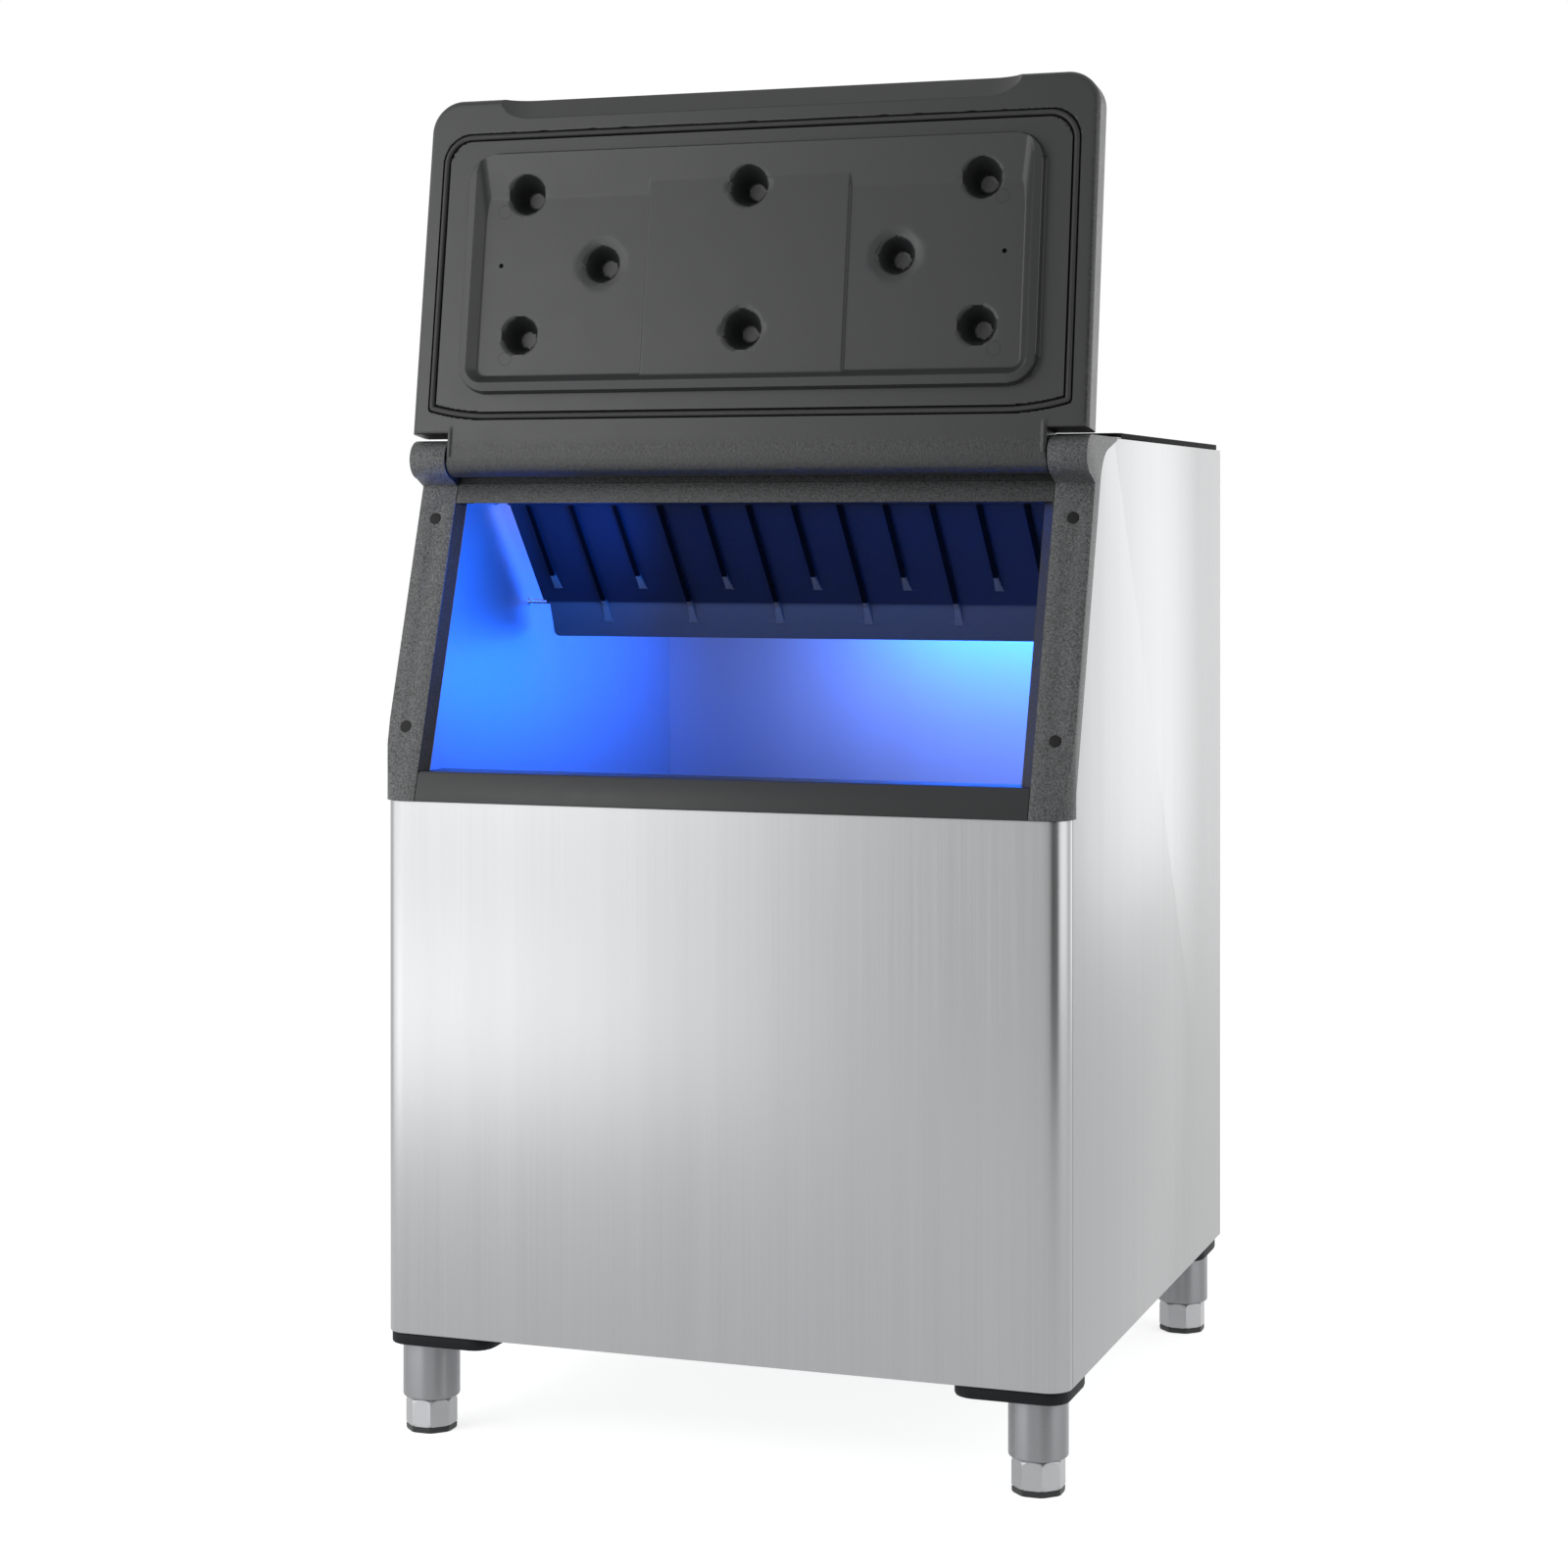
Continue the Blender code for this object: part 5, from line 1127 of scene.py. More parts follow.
@dataclass
class Leg:
    """One leg: its plate, brushed tube, eight-sided screw foot and sole."""

    place: str
    tube_radius: float = 0.031
    tube_wall: float = 0.002
    hem: float = 0.003
    bore: float = 0.0103
    socket: float = 0.008
    tube_round: float = 0.0006
    ring_round: float = 0.0004
    tube_top: float = 0.003
    foot_gap: float = 0.0003
    foot_radius: float = 0.0278
    foot_round: float = 0.0012
    shoulder: float = 0.0024
    crown: tuple[Pair, ...] = (
        (2.0, 0.0), (1.5, 0.0004), (1.0, 0.0009), (0.7, 0.0013), (0.4, 0.0018), (0.15, 0.0024), (0.0, 0.0028))
    collar: float = 0.0112
    stem: float = 0.0099
    stem_tip: float = 0.009
    sole_round: float = 0.0008
    sole_insets: Pair = (0.0004, 0.0002)
    foot_turn: float = TURN / 16
    sides: int = 96
    tube_steps: int = 8
    foot_sharp: float = 28.0

    def build(self) -> None:
        """Builds the tube and the foot and dresses the plate."""
        soften("leg_plate_" + self.place, 0.0, PLATE_PLASTIC)
        node = "leg_tube_" + self.place
        centre = middle(node) * [1, 1, 0]
        self.build_tube(node, centre, low(node)[2], high(node)[2])
        self.build_foot(centre)

    def build_tube(self, node: str, centre: np.ndarray, foot: float, top: float) -> None:
        """Leg tube: a closed top, a rolled hem below and the threaded ring inside it."""
        inner = self.tube_radius - self.tube_wall
        outline = rounded_profile([
            (0, top, 0), (self.tube_radius, top, self.tube_round), (self.tube_radius, foot, self.hem),
            (self.bore, foot, self.ring_round), (self.bore, foot + self.socket, self.ring_round),
            (inner, foot + self.socket, 0), (inner, top - self.tube_top, 0), (0, top - self.tube_top, 0)],
            self.tube_steps)
        points, faces = lathe(outline, self.sides)
        make_piece("Leg_tube_" + self.place, points + centre, faces, LEG_STEEL, CABINET,
                   node)

    def flats(self, turn: np.ndarray, radius: float) -> np.ndarray:
        """Radius of an eight-sided outline at a turn: the flat's distance over the cosine from its middle."""
        eighth = TURN / 8
        return radius * math.cos(eighth / 2) / np.cos(np.mod(turn + self.foot_turn, eighth) - eighth / 2)

    def build_foot(self, centre: np.ndarray) -> None:
        """Screw foot and sole: at each height the smaller of the eight-sided radius and a round one.

        The round one falls in steps over the crown, whose rows are heights below the top in shoulders and
        how much the radius has lost there.
        """
        node, sole = "foot_" + self.place, "sole_" + self.place
        start, end, full = low(node)[2], high(node)[2], self.foot_radius
        top = low("leg_tube_" + self.place)[2] - self.foot_gap
        turn = np.linspace(0, TURN, self.sides, endpoint=False)
        fall, loss = np.array(self.crown).T
        heights = np.concatenate([[start, start + MM, start + 4 * MM], top - fall * self.shoulder,
                                  [top, top, end - MM, end, end]])
        round_radius = np.concatenate([[full - self.foot_round, full, full], full - loss,
                                       [self.collar, self.stem, self.stem, self.stem_tip, 0.0]])
        eight = self.flats(turn, full)
        radius = np.minimum(round_radius[:, None], np.where(heights[:, None] < top, eight, np.inf))
        self.round_piece("Foot_" + self.place, centre, radius, heights, FOOT_STEEL, node,
                         turn)
        ground, tall = low(sole)[2], high(sole)[2]
        heights = np.array([ground, ground, ground + self.sole_round, tall - self.sole_round, tall, tall])
        round_radius = full - np.array([full, self.foot_round, *self.sole_insets, self.foot_round, full])
        radius = np.minimum(round_radius[:, None], eight - self.sole_insets[1])
        self.round_piece("Sole_" + self.place, centre, radius, heights, SOLE_PLASTIC, sole,
                         turn)

    def round_piece(self, name: str, centre: np.ndarray, radius: np.ndarray, heights: np.ndarray,
                    finish: Finish, node: str, turn: np.ndarray) -> None:
        """Makes a piece from radii by height and turn, from the bottom up.

        Args:
            name: The piece's name.
            centre: The leg's axis on the floor.
            radius: Radii by height and turn.
            heights: The heights.
            finish: Its finish.
            node: The solid that it replaces; its body has the foot's name.
            turn: The turns.
        """
        first = np.zeros((1, len(turn)))
        full = radius if radius[0, 0] == 0 else np.vstack([first, radius])
        level = heights if radius[0, 0] == 0 else np.concatenate([heights[:1], heights])
        points = np.stack([full * np.cos(turn), full * np.sin(turn), level[:, None] + 0 * full], axis=-1)
        index = np.arange(full.size).reshape(full.shape)
        make_piece(name, points + centre, [quads(closed(index))], finish, "foot_" + self.place, node,
                   self.foot_sharp)


@dataclass
class Lid:
    """Blown lid, swung back: its shell with all that shows on the inner face, and its seal."""

    lean: float = math.radians(8.26)
    face: float = -0.0195
    thickness: float = 0.040
    half_width: float = 0.3845
    reach: float = 0.4054
    corner: float = 0.036
    inset: float = 0.010
    inner_round: float = 0.007
    outer_round: float = 0.010
    edge_levels: tuple[float, ...] = (0.0105, 0.0145, 0.0195, 0.0245)
    back_rings: tuple[float, ...] = (0.92, 0.5)
    notch: float = 0.0262
    notch_round: float = 0.003
    tongue: float = 0.3405
    tongue_round: float = 0.001
    ring_half: float = 0.330
    ring_low: float = 0.0695
    ring_high: float = 0.341
    ring_corner: float = 0.034
    ring_wall: float = 0.0018
    ring_edge_height: float = 0.0095
    ring_band: float = 0.0115
    ridge_height: float = 0.0125
    pad_half: float = 0.3095
    pad_low: float = 0.0898
    pad_high: float = 0.2895
    pad_corner: float = 0.010
    wall_slope: float = 1.316
    ramp_slope: float = 0.175
    blend: float = 0.008
    panel_half: float = 0.1155
    panel_height: float = 0.0026
    panel_wall: float = 0.0006
    dish_depth: float = 0.0016
    dish_width: float = 0.008
    kiss_radius: float = 0.0215
    kiss_floor: float = 0.0102
    kiss_depth: float = 0.029
    kisses: tuple[Pair, ...] = (
        (-0.261, 0.2925), (0.261, 0.2925), (-0.261, 0.135), (0.261, 0.135), (0.0, 0.2935), (0.0, 0.136),
        (-0.1685, 0.213), (0.1685, 0.213))
    grip_half: float = 0.300
    grip_straight: float = 0.262
    grip_start: float = 0.381
    grip_depth: float = 0.016
    seal_half: float = 0.3618
    seal_low: float = 0.0454
    seal_high: float = 0.3613
    seal_rise: float = 0.0095
    seal_rise_length: float = 0.070
    seal_corner: float = 0.030
    groove: float = 0.0045
    bead: float = 0.0031
    sink: float = 0.0011
    seal_points: int = 900
    seal_sides: int = 12
    seal_search: float = 0.016
    strip_inner: Pair = (0.3352, 0.3362)
    strip_outer: Pair = (0.3398, 0.3392)
    strip_end: Pair = (0.033, 0.031)
    strip_height: float = 0.0014
    shell_sharp: float = 50.0
    seal_sharp: float = 60.0
    axis: np.ndarray = field(default_factory=lambda: np.array(lid_joint()["pos_m"]))

    def build(self) -> None:
        """Builds the shell and the seal, and dresses the foam core."""
        self.build_shell()
        self.build_seal()
        soften("lid_core", 0.0, FOAM)

    @property
    def tongue_edge(self) -> float:
        """Half width of the tongue's flat face."""
        return self.tongue - self.tongue_round

    @property
    def notch_edge(self) -> float:
        """Where the flat face starts above the notches."""
        return self.notch + self.notch_round

    @property
    def corner_start(self) -> Pair:
        """Where the far corners start, across and along."""
        return self.half_width - self.corner, self.reach - self.corner

    def world(self, x: np.ndarray, depth: np.ndarray, reach: np.ndarray) -> np.ndarray:
        """Turns places on the lid into places in the room.

        Args:
            x: Across the bin.
            depth: Below the inner face, into the lid.
            reach: From the hinge axis towards the lid's far edge.

        Returns:
            Points: the reach leans back by the lid's angle and the depth is square to it.
        """
        out = self.face + depth
        y = self.axis[1] + out * math.cos(self.lean) + reach * math.sin(self.lean)
        z = self.axis[2] - out * math.sin(self.lean) + reach * math.cos(self.lean)
        return np.stack(np.broadcast_arrays(x, y, z), axis=-1)

    def seal_line(self) -> np.ndarray:
        """Seal's closed run: straight sides, round upper corners, and a lower run that climbs at its ends.

        Returns:
            Points across and along the lid, closely spaced.
        """
        half, radius = self.seal_half, self.seal_corner
        bend = np.linspace(0, QUARTER, 16)
        share = np.linspace(1, 0, 24)
        low_x = half - self.seal_rise_length * (1 - share)
        low_y = self.seal_low + self.seal_rise * share ** 2
        right = np.concatenate([
            np.stack([low_x[::-1], low_y[::-1]], axis=1),
            np.stack([half - radius + radius * np.cos(bend), self.seal_high - radius + radius * np.sin(bend)],
                     axis=1)])
        line = np.concatenate([right, right[::-1] * [-1, 1]])
        ahead = np.concatenate([line, line[:1]])
        length = np.concatenate([[0], np.cumsum(np.hypot(*np.diff(ahead, axis=0).T))])
        places = np.linspace(0, length[-1], self.seal_points, endpoint=False)
        return np.stack([np.interp(places, length, column) for column in ahead.T], axis=1)

    def height(self, x: np.ndarray, reach: np.ndarray) -> np.ndarray:
        """Height of the raised ring and of what lies inside it, above the flange.

        The ring's top rises from its outer edge to its ridge. Inside, a steep wall rises from three sides of
        the pad and a long ramp from its far side; the two are blended by adding a square of their nearness.
        The height is the lesser of the ring's top and of the greatest of wall, ramp and middle panel, times
        a steep step at the ring's outline.

        Args:
            x: Across the lid.
            reach: Along the lid from its hinge axis.

        Returns:
            The height, out of the lid.
        """
        middle, half = (self.ring_low + self.ring_high) / 2, (self.ring_high - self.ring_low) / 2
        inside = -box_distance(x, reach, middle, self.ring_half, half, self.ring_corner)
        band = np.clip(inside / self.ring_band, 0, 1)
        top = self.ring_edge_height + (self.ridge_height - self.ring_edge_height) * band
        tall = (self.ring_high + self.reach - self.pad_low) / 2
        apart = box_distance(x, reach, self.pad_low + tall, self.pad_half, tall, self.pad_corner)
        wall = self.wall_slope * apart
        ramp = self.ramp_slope * (reach - self.pad_high)
        near = np.maximum(self.blend - np.abs(wall - ramp), 0)
        basin = np.maximum(wall, ramp) + near ** 2 / (4 * self.blend)
        panel = self.panel_height * smooth_step(self.panel_half + self.panel_wall,
                                                self.panel_half - self.panel_wall, np.abs(x))
        floor = np.maximum(np.maximum(basin, 0), panel)
        return smooth_step(0, self.ring_wall, inside) * np.minimum(top, floor)

    def depth(self, x: np.ndarray, reach: np.ndarray) -> np.ndarray:
        """Depth of the inner face below its flange, less than 0 where it stands proud.

        From the ring's height the conical recesses are cut, the last two in shallow dishes, and the grip: a
        slope that starts along a straight line and runs out along a quarter ellipse at each end. A small
        raised strip stands at each end of the tongue.

        Args:
            x: Across the lid.
            reach: Along the lid from its hinge axis.

        Returns:
            The depth, into the lid.
        """
        deep = -self.height(x, reach)
        for number, (cross, along) in enumerate(self.kisses):
            radius = np.hypot(x - cross, reach - along)
            if number >= len(self.kisses) - 2:
                deep = deep + self.dish_depth * smooth_step(self.kiss_radius + self.dish_width,
                                                            self.kiss_radius + MM, radius)
            cone = (self.kiss_radius - radius) / (self.kiss_radius - self.kiss_floor)
            deep = np.maximum(deep, self.kiss_depth * np.minimum(cone, 1))
        past = np.clip((np.abs(x) - self.grip_straight) / (self.grip_half - self.grip_straight), 0, 1)
        start = self.grip_start + (self.reach - self.grip_start) * (1 - np.sqrt(1 - past * past))
        slope = self.grip_depth / (self.reach - self.grip_start)
        deep = np.where(reach > self.ring_high, np.maximum(deep, slope * (reach - start)), deep)
        strip = smooth_step(*self.strip_inner, np.abs(x)) * smooth_step(*self.strip_outer, np.abs(x))
        return deep - self.strip_height * strip * smooth_step(*self.strip_end, reach)

    def groove_depth(self, x: np.ndarray, reach: np.ndarray) -> np.ndarray:
        """Depth of the seal's half-round groove, from the least distance to the seal's run."""
        line = self.seal_line()
        flat_x, flat_y = x.ravel(), reach.ravel()
        near = np.full(flat_x.shape, 1.0)
        band = np.abs(box_distance(flat_x, flat_y, (self.seal_low + self.seal_high) / 2, self.seal_half,
                                   (self.seal_high - self.seal_low) / 2, MM)) < self.seal_search
        gaps = np.hypot(flat_x[band, None] - line[None, :, 0], flat_y[band, None] - line[None, :, 1])
        near[band] = gaps.min(axis=1)
        round_part = np.sqrt(np.maximum(self.groove ** 2 - near ** 2, 0))
        return np.where(near < self.groove, self.sink + round_part, 0).reshape(x.shape)

    def lines(self) -> tuple[np.ndarray, np.ndarray, np.ndarray]:
        """Grid lines, close together where the face is detailed.

        Returns:
            Lines across, lines along above the notch, and lines along the tongue below it.
        """
        half = spread([
            (0.024, 0.0025), (0.110, 0.006), (0.121, 0.0012), (0.1445, 0.005), (0.1925, 0.0025),
            (0.237, 0.006), (0.285, 0.0025), (0.294, 0.003), (self.tongue_edge, 0.001), (0.356, 0.0026),
            (0.3675, 0.0009), (self.half_width - self.inset, 0.0027)])
        across = np.concatenate([-half[:0:-1], half])
        along = spread([
            (0.0395, 0.0035), (0.061, 0.0011), (0.067, 0.0022), (0.106, 0.0011), (0.159, 0.0025),
            (0.189, 0.005), (0.237, 0.0025), (0.268, 0.005), (0.306, 0.0021), (0.344, 0.0011),
            (0.3555, 0.0022), (0.3675, 0.0009), (0.379, 0.0024), (self.reach - self.inset, 0.001)],
            self.notch_edge)
        return across, along, spread([(self.notch_edge, 0.0037)])[:-1]

    def corner_map(self, x: np.ndarray, reach: np.ndarray) -> tuple[np.ndarray, np.ndarray]:
        """Presses the two far corners of the grid round.

        In a corner block of the radius's size, with shares u and v from its inner corner, a point goes to
        u times the root of 1 less half v squared, and v times the root of 1 less half u squared.

        Args:
            x: Across.
            reach: Along.

        Returns:
            The pressed places.
        """
        radius = self.corner - self.inset
        corner_x, corner_y = self.corner_start
        u = np.clip((np.abs(x) - corner_x) / radius, 0, 1)
        v = np.clip((reach - corner_y) / radius, 0, 1)
        new_x = np.where((u > 0) & (v > 0), np.sign(x) * (corner_x + radius * u * np.sqrt(1 - v * v / 2)), x)
        new_y = np.where((u > 0) & (v > 0), corner_y + radius * v * np.sqrt(1 - u * u / 2), reach)
        return new_x, new_y

    def edge_profile(self, level: np.ndarray, inner: float, outer: float, width: float) -> np.ndarray:
        """How far an edge stands out at each depth: a quarter circle, a straight side, a quarter circle.

        Args:
            level: Depths below the inner face.
            inner: Radius at the inner face.
            outer: Radius at the outer face.
            width: The side's distance from the boundary.

        Returns:
            The distance out at each depth.
        """
        near = width - inner + np.sqrt(np.maximum(inner ** 2 - np.maximum(inner - level, 0) ** 2, 0))
        far_over = np.maximum(level - (self.thickness - outer), 0)
        far = width - outer + np.sqrt(np.maximum(outer ** 2 - far_over ** 2, 0))
        return np.minimum(near, far)

    def build_shell(self) -> None:
        """Shell: the inner face on a grid, the edge as a profile round its boundary, the outer face as rings.

        The grid is a wide block above the hinge notches and a narrower one, the tongue, between them.
        """
        across, along, below = self.lines()
        x, reach = np.meshgrid(across, along)
        x, reach = self.corner_map(x, reach)
        first = int(np.argmin(np.abs(across + self.tongue_edge)))
        last = int(np.argmin(np.abs(across - self.tongue_edge)))
        tongue_x, tongue_y = np.meshgrid(across[first:last + 1], below)
        flat_x = np.concatenate([x.ravel(), tongue_x.ravel()])
        flat_y = np.concatenate([reach.ravel(), tongue_y.ravel()])
        deep = self.depth(flat_x, flat_y) + self.groove_depth(flat_x, flat_y)
        main = np.arange(x.size).reshape(x.shape)
        tongue = x.size + np.arange(tongue_x.size).reshape(tongue_x.shape)
        joined = np.vstack([tongue, main[:1, first:last + 1]])

        loop = np.concatenate([main[0, :first], joined[::-1, 0], joined[0, 1:], joined[1:, -1],
                               main[0, last + 1:], main[1:, -1], main[-1, -2::-1], main[-2:0:-1, 0]])
        loop_x, loop_y = flat_x[loop], flat_y[loop]
        level = np.concatenate([[0.0], self.inner_round * (1 - np.cos(np.linspace(0, QUARTER, 9))),
                                self.edge_levels, self.thickness - self.outer_round
                                + self.outer_round * np.sin(np.linspace(0, QUARTER, 10))])
        out_x, out_y = self.offsets(loop_x, loop_y, level)
        rim_x, rim_y = loop_x + out_x, loop_y + out_y
        slope_depth = self.depth(rim_x, rim_y)
        rim_deep = np.minimum(np.maximum(level[:, None] + 0 * rim_x, slope_depth), self.thickness)
        rim_deep[0] = deep[loop]

        count = len(flat_x)
        rim = np.vstack([loop, count + np.arange((len(level) - 1) * len(loop)).reshape(-1, len(loop))])
        middle_y = (self.reach + self.notch) / 2
        shares = np.array(self.back_rings)[:, None]
        ring_x = loop_x * shares
        ring_y = middle_y + (loop_y - middle_y) * shares
        rings = rim.max() + 1 + np.arange(ring_x.size).reshape(ring_x.shape)
        outer = np.vstack([rim[-1:], rings])

        all_x = np.concatenate([flat_x, rim_x[1:].ravel(), ring_x.ravel()])
        all_y = np.concatenate([flat_y, rim_y[1:].ravel(), ring_y.ravel()])
        all_deep = np.concatenate([deep, rim_deep[1:].ravel(), np.full(ring_x.size, self.thickness)])
        points = self.world(all_x, all_deep, all_y)
        faces = [quads(main), quads(joined), quads(closed(rim), flip=True), quads(closed(outer), flip=True),
                 [outer[-1][::-1].tolist()]]
        make_piece("Lid_shell_blown", points, faces, LID_PLASTIC, "lid", "lid_shell",
                   self.shell_sharp, np.stack([all_x, all_y], axis=-1))

    def offsets(self, x: np.ndarray, reach: np.ndarray, level: np.ndarray) -> tuple[np.ndarray, np.ndarray]:
        """How far the edge stands out from each boundary point at each depth, across and along.

        The sides and the far edge carry the wide round edge, the notches a tight one, and the tongue's end
        the knuckle: a half circle round the hinge axis.

        Args:
            x: The boundary's places across.
            reach: The boundary's places along.
            level: The depths.

        Returns:
            Distances across and along, by depth and boundary point.
        """
        wide = self.edge_profile(level, self.inner_round, self.outer_round, self.inset)
        tight = self.edge_profile(level, self.notch_round, self.notch_round, self.notch_round)
        square = self.edge_profile(level, self.tongue_round, self.tongue_round, self.tongue_round)
        radius = -self.face
        knuckle = np.sqrt(np.maximum(radius ** 2 - (radius - level) ** 2, 0))
        corner_x, corner_y = self.corner_start
        past_x = np.where(reach > corner_y + CLOSE, np.maximum(np.abs(x) - corner_x, 0), 0)
        past_y = np.maximum(reach - corner_y, 0)
        size = np.maximum(np.hypot(past_x, past_y), CLOSE)
        side = np.abs(x) > self.half_width - self.inset - CLOSE
        far = past_y > CLOSE
        across = np.where(far, past_x / size, np.where(side, 1.0, 0.0)) * np.sign(x)
        ahead = np.where(far, past_y / size, 0.0)
        start, edge = self.notch_edge, self.tongue_edge
        on_notch = (np.abs(reach - start) < CLOSE) & (np.abs(x) > edge - CLOSE)
        on_end = reach < CLOSE
        on_tongue = (np.abs(np.abs(x) - edge) < CLOSE) & (reach < start + CLOSE)
        out_x = wide[:, None] * across + square[:, None] * np.where(on_tongue, np.sign(x), 0.0)
        out_y = (wide[:, None] * ahead - tight[:, None] * on_notch.astype(float)
                 - knuckle[:, None] * on_end.astype(float))
        return out_x, out_y

    def build_seal(self) -> None:
        """Seal: a circle carried along the seal's run, square to it."""
        line = self.seal_line()
        ahead = np.roll(line, -1, axis=0) - np.roll(line, 1, axis=0)
        ahead /= np.linalg.norm(ahead, axis=1)[:, None]
        turn = np.linspace(0, TURN, self.seal_sides, endpoint=False)
        x = line[:, :1] + self.bead * np.cos(turn) * -ahead[:, 1:]
        reach = line[:, 1:] + self.bead * np.cos(turn) * ahead[:, :1]
        deep = self.sink + self.bead * np.sin(turn) + 0 * x
        index = closed(np.arange(x.size).reshape(x.shape))
        index = np.vstack([index, index[:1]])
        make_piece("Lid_seal_bead", self.world(x, deep, reach), [quads(index)], SEAL_RUBBER, "lid",
                   "lid_seal", self.seal_sharp)


def lid_joint() -> dict:
    """The record's entry for the lid's hinge."""
    return next(joint for joint in frame["joints"] if joint["child"] == "lid")


# The room


@dataclass(frozen=True)
class SoftBox:
    """A rectangular lamp, with its power in watts."""

    name: str
    place: Triple
    aim: Triple
    size: Pair
    power: float

    def light(self, colour: str = "#FFFFFF", spread_degrees: float = 180.0) -> None:
        """Adds the lamp, of an sRGB hex colour, to the scene."""
        data = bpy.data.lights.new(self.name, "AREA")
        data.shape = "RECTANGLE"
        data.size, data.size_y = self.size
        data.energy = self.power
        data.color = linear(colour)[:3]
        data.spread = math.radians(spread_degrees)
        lamp = bpy.data.objects.new(self.name, data)
        lamp.location = self.place
        away = lamp.location - type(lamp.location)(self.aim)
        lamp.rotation_euler = away.to_track_quat("Z", "Y").to_euler()
        lamp.visible_camera = False
        bpy.context.scene.collection.objects.link(lamp)


ROOM_LAMPS = (
    SoftBox("Left box", (-1.4, -1.27, 1.21), (0.0, 0.03, 1.21), (2.4, 2.4), 24.0),
    SoftBox("Lid box", (-1.5, -2.5, 1.8), (-0.25, -0.3, 1.2), (0.7, 0.5), 6.5),
    SoftBox("Left low", (-1.6, -1.9, 0.26), (-0.1, -0.38, 0.3), (1.6, 0.5), 2.2),
    SoftBox("Right box", (2.9, -0.4, 1.5), (0.2, 0.0, 0.8), (2.6, 2.4), 29.0),
    SoftBox("Rear box", (2.3, 3.9, 1.0), (0.4, 0.0, 0.6), (2.6, 2.6), 27.0))
TUB_LAMPS = (
    SoftBox("Tub back", (0.1, 0.02, 0.93), (0.12, 0.34, 0.72), (0.40, 0.10), 4.8),
    SoftBox("Tub left", (0.02, 0.16, 0.78), (-0.33, 0.14, 0.70), (0.24, 0.10), 1.4),
    SoftBox("Tub right", (0.15, 0.09, 0.93), (0.33, 0.07, 0.78), (0.30, 0.10), 2.0),
    SoftBox("Mouth left", (-0.12, -0.26, 0.94), (-0.33, -0.22, 0.92), (0.08, 0.10), 1.8))


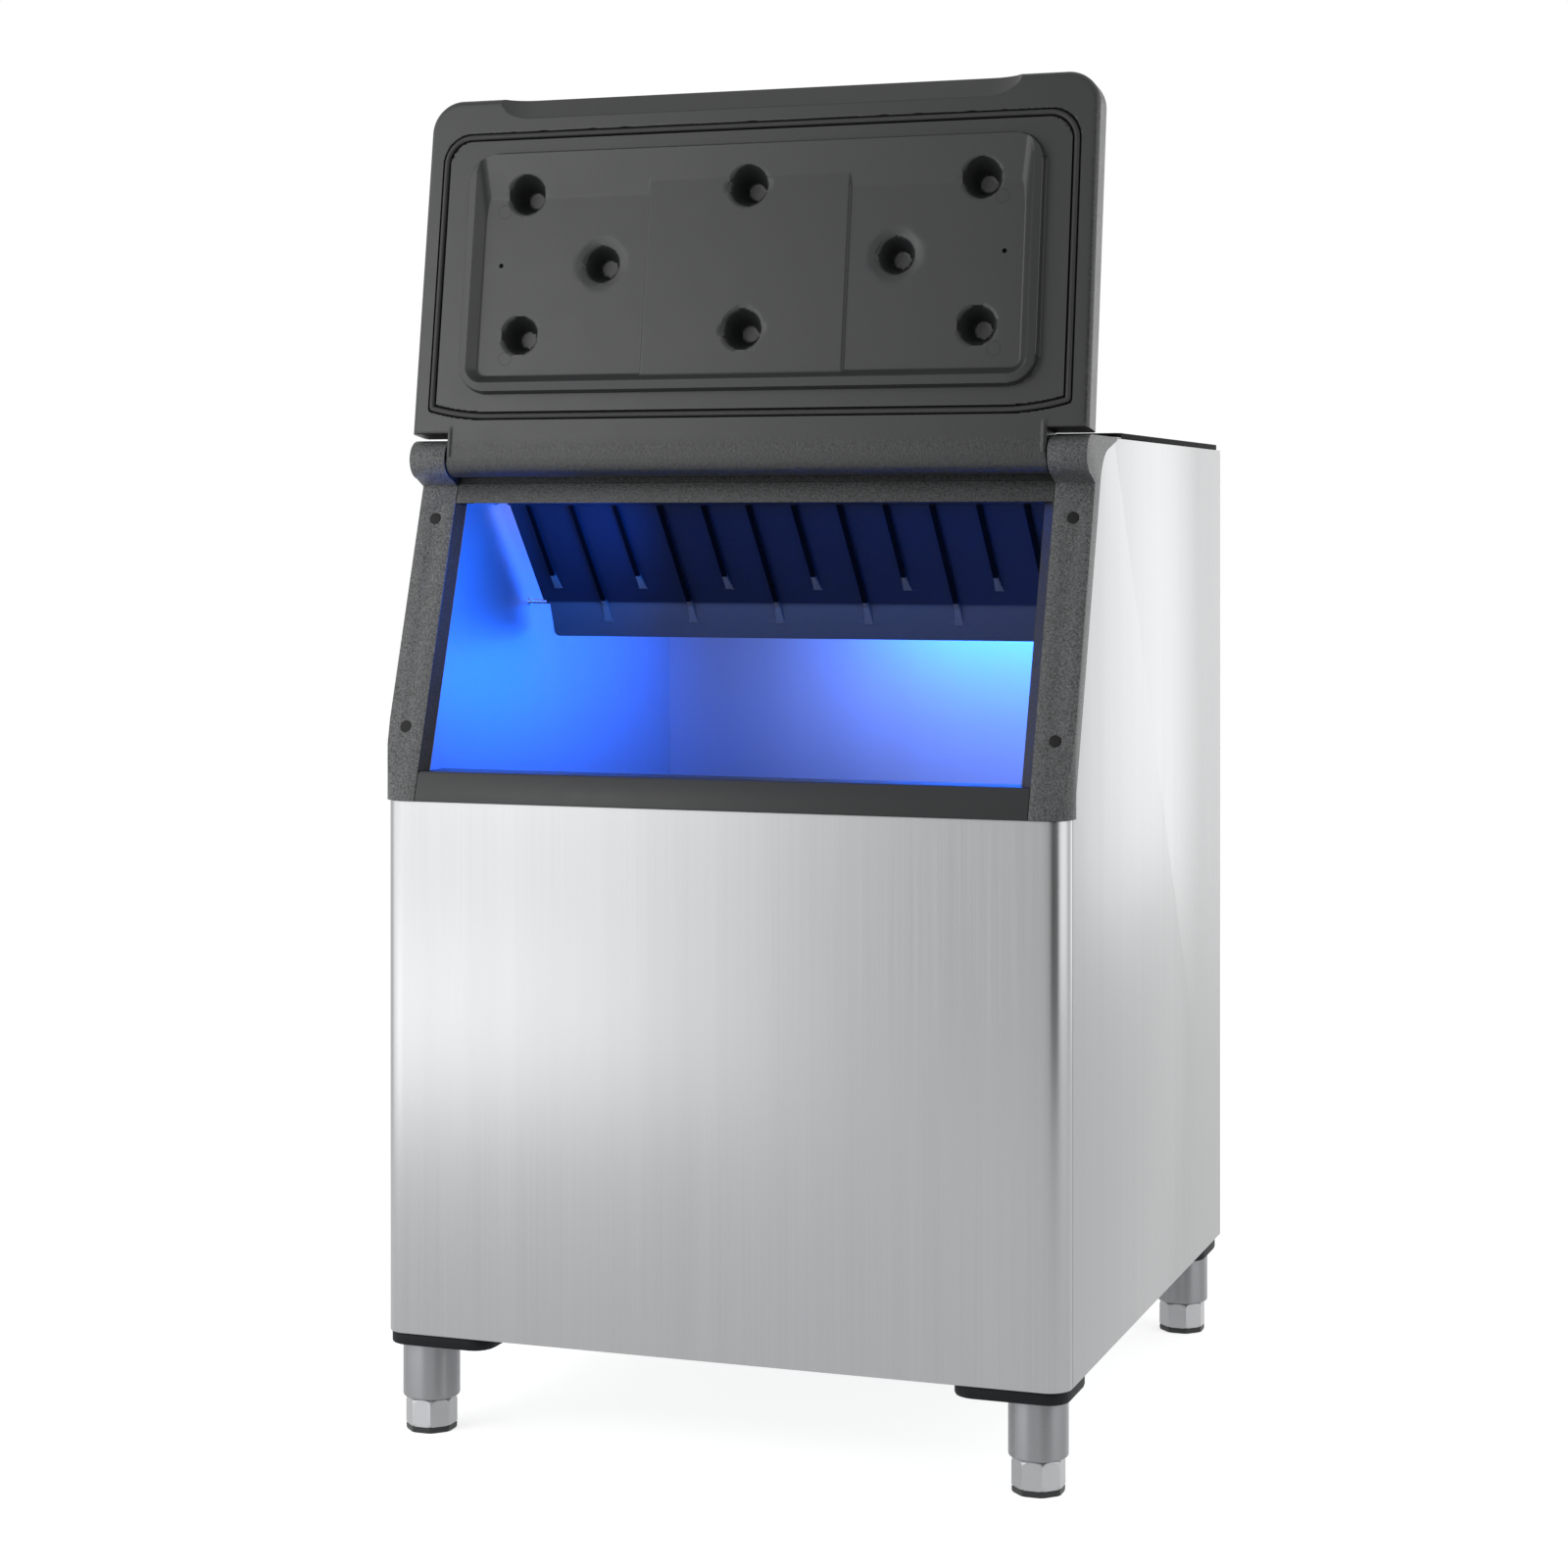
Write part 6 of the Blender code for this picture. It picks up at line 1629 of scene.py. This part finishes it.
@dataclass
class Studio:
    """Camera, lamps, floor and background."""

    lens_mm: float = 72.0
    sensor_mm: Pair = (30.0, 36.0)
    turn: float = 0.3389
    place: Triple = (1.1604, -3.44556, 0.9810)
    shift: float = -0.16269
    sky: float = 0.42
    floor_half: float = 30.0
    floor_drop: float = 0.0002
    floor_glow: float = 0.77
    card_near: Pair = (1.50, -2.85)
    card_far: Pair = (2.88, -1.45)
    card_height: float = 2.4
    blue: str = "#0E6AFF"
    blue_spread: float = 125.0
    strip_width: float = 0.012
    strip_drop: float = 0.002
    strip_aim: Triple = (0.0, 0.35, -0.6)
    strip_power: float = 1.8

    def build(self) -> None:
        """Sets up the room."""
        self.build_camera()
        self.build_world()
        self.build_floor()
        self.build_card()
        for box in ROOM_LAMPS:
            box.light()
        for box in (self.strip(), *TUB_LAMPS):
            box.light(self.blue, self.blue_spread)

    def build_camera(self) -> None:
        """Camera at the photograph's place: level, turned left, its view moved down by a lens shift."""
        data = bpy.data.cameras.new("Camera")
        data.lens = self.lens_mm
        data.sensor_fit = "VERTICAL"
        data.sensor_width, data.sensor_height = self.sensor_mm
        data.shift_y = self.shift
        camera = bpy.data.objects.new("Camera", data)
        camera.location = self.place
        camera.rotation_euler = (QUARTER, 0, self.turn)
        bpy.context.scene.collection.objects.link(camera)
        bpy.context.scene.camera = camera
        bpy.context.scene.view_settings.view_transform = "Standard"

    def build_world(self) -> None:
        """White behind everything that is seen or mirrored, and a softer white as light."""
        world = bpy.data.worlds.new("Studio")
        bpy.context.scene.world = world
        world.use_nodes = True
        world.node_tree.nodes.clear()
        net = Network(world.node_tree)
        strength = net.ramp(self.seen(net), target=(self.sky, 1.0))
        light = net.add("ShaderNodeBackground", {"Color": linear("#FFFFFF")}, {"Strength": strength})
        net.add("ShaderNodeOutputWorld", {}, {0: light.outputs[0]})

    def seen(self, net: Network) -> Socket:
        """1 where the background is seen, straight, mirrored or through something clear, and 0 as light."""
        path = net.add("ShaderNodeLightPath").outputs
        straight = net.combine("MAXIMUM", path["Is Camera Ray"], path["Is Transmission Ray"])
        return net.combine("MAXIMUM", straight, path["Is Glossy Ray"])

    def build_floor(self) -> None:
        """Pale floor, wide enough to fill every view."""
        size = self.floor_half
        mesh = bpy.data.meshes.new("Studio_floor")
        corners = [(-size, -size, 0), (size, -size, 0), (size, size, 0), (-size, size, 0)]
        mesh.from_pydata(corners, [], [(0, 1, 2, 3)])
        mesh.materials.append(self.floor_material())
        floor = bpy.data.objects.new("Studio_floor", mesh)
        floor.location.z = -self.floor_drop
        bpy.context.scene.collection.objects.link(floor)

    def floor_material(self) -> bpy.types.Material:
        """White paper: a diffuse sheet lifted to white where it is seen, so that only a shadow darkens it."""
        made = bpy.data.materials.new("Paper sweep, white")
        made.use_nodes = True
        made.node_tree.nodes.clear()
        net = Network(made.node_tree)
        diffuse = net.add("ShaderNodeBsdfDiffuse", {"Color": linear("#C4C4C4")})
        strength = net.combine("MULTIPLY", self.seen(net), self.floor_glow)
        glow = net.add("ShaderNodeEmission", {"Color": linear("#FFFFFF")}, {"Strength": strength})
        mixed = net.add("ShaderNodeAddShader", {}, {0: diffuse.outputs[0], 1: glow.outputs[0]})
        net.add("ShaderNodeOutputMaterial", {}, {0: mixed.outputs[0]})
        return made

    def build_card(self) -> None:
        """Dark card ahead on the right, seen in metal alone: it gives the bent steel its darker band."""
        mesh = bpy.data.meshes.new("Studio_card")
        near, far, top = self.card_near, self.card_far, self.card_height
        corners = [(*near, 0.0), (*far, 0.0), (*far, top), (*near, top)]
        mesh.from_pydata(corners, [], [(0, 3, 2, 1)])
        made = bpy.data.materials.new("Card, painted dark grey")
        made.use_nodes = True
        shader = Network(made.node_tree).shader
        shader.inputs["Base Color"].default_value = linear("#3A3A3A")
        shader.inputs["Roughness"].default_value = 0.9
        mesh.materials.append(made)
        card = bpy.data.objects.new("Studio_card", mesh)
        card.visible_camera = card.visible_diffuse = card.visible_shadow = False
        bpy.context.scene.collection.objects.link(card)

    def strip(self) -> SoftBox:
        """Lamp of the blue diode strip, just under its lens; the tub's lamps stand for its bounced light."""
        start, end = low("led_lens"), high("led_lens")
        place = (*middle("led_lens")[:2], start[2] - self.strip_drop)
        aim = tuple(np.add(place, self.strip_aim))
        return SoftBox("Strip", place, aim, (end[0] - start[0], self.strip_width), self.strip_power)


def main() -> None:
    """Builds the bin's pieces and the room."""
    logging.basicConfig(level=logging.INFO, format="%(name)s: %(message)s")
    Studio().build()
    sections = [Cabinet(), MouthFrame(), Liner(), Baffle(), Lid()]
    sections += [Leg(end + "_" + side) for end in ("front", "back") for side in ("left", "right")]
    for section in sections:
        section.build()
        LOG.info("%s is done", type(section).__name__)
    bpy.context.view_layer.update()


if __name__ == "__main__":
    main()
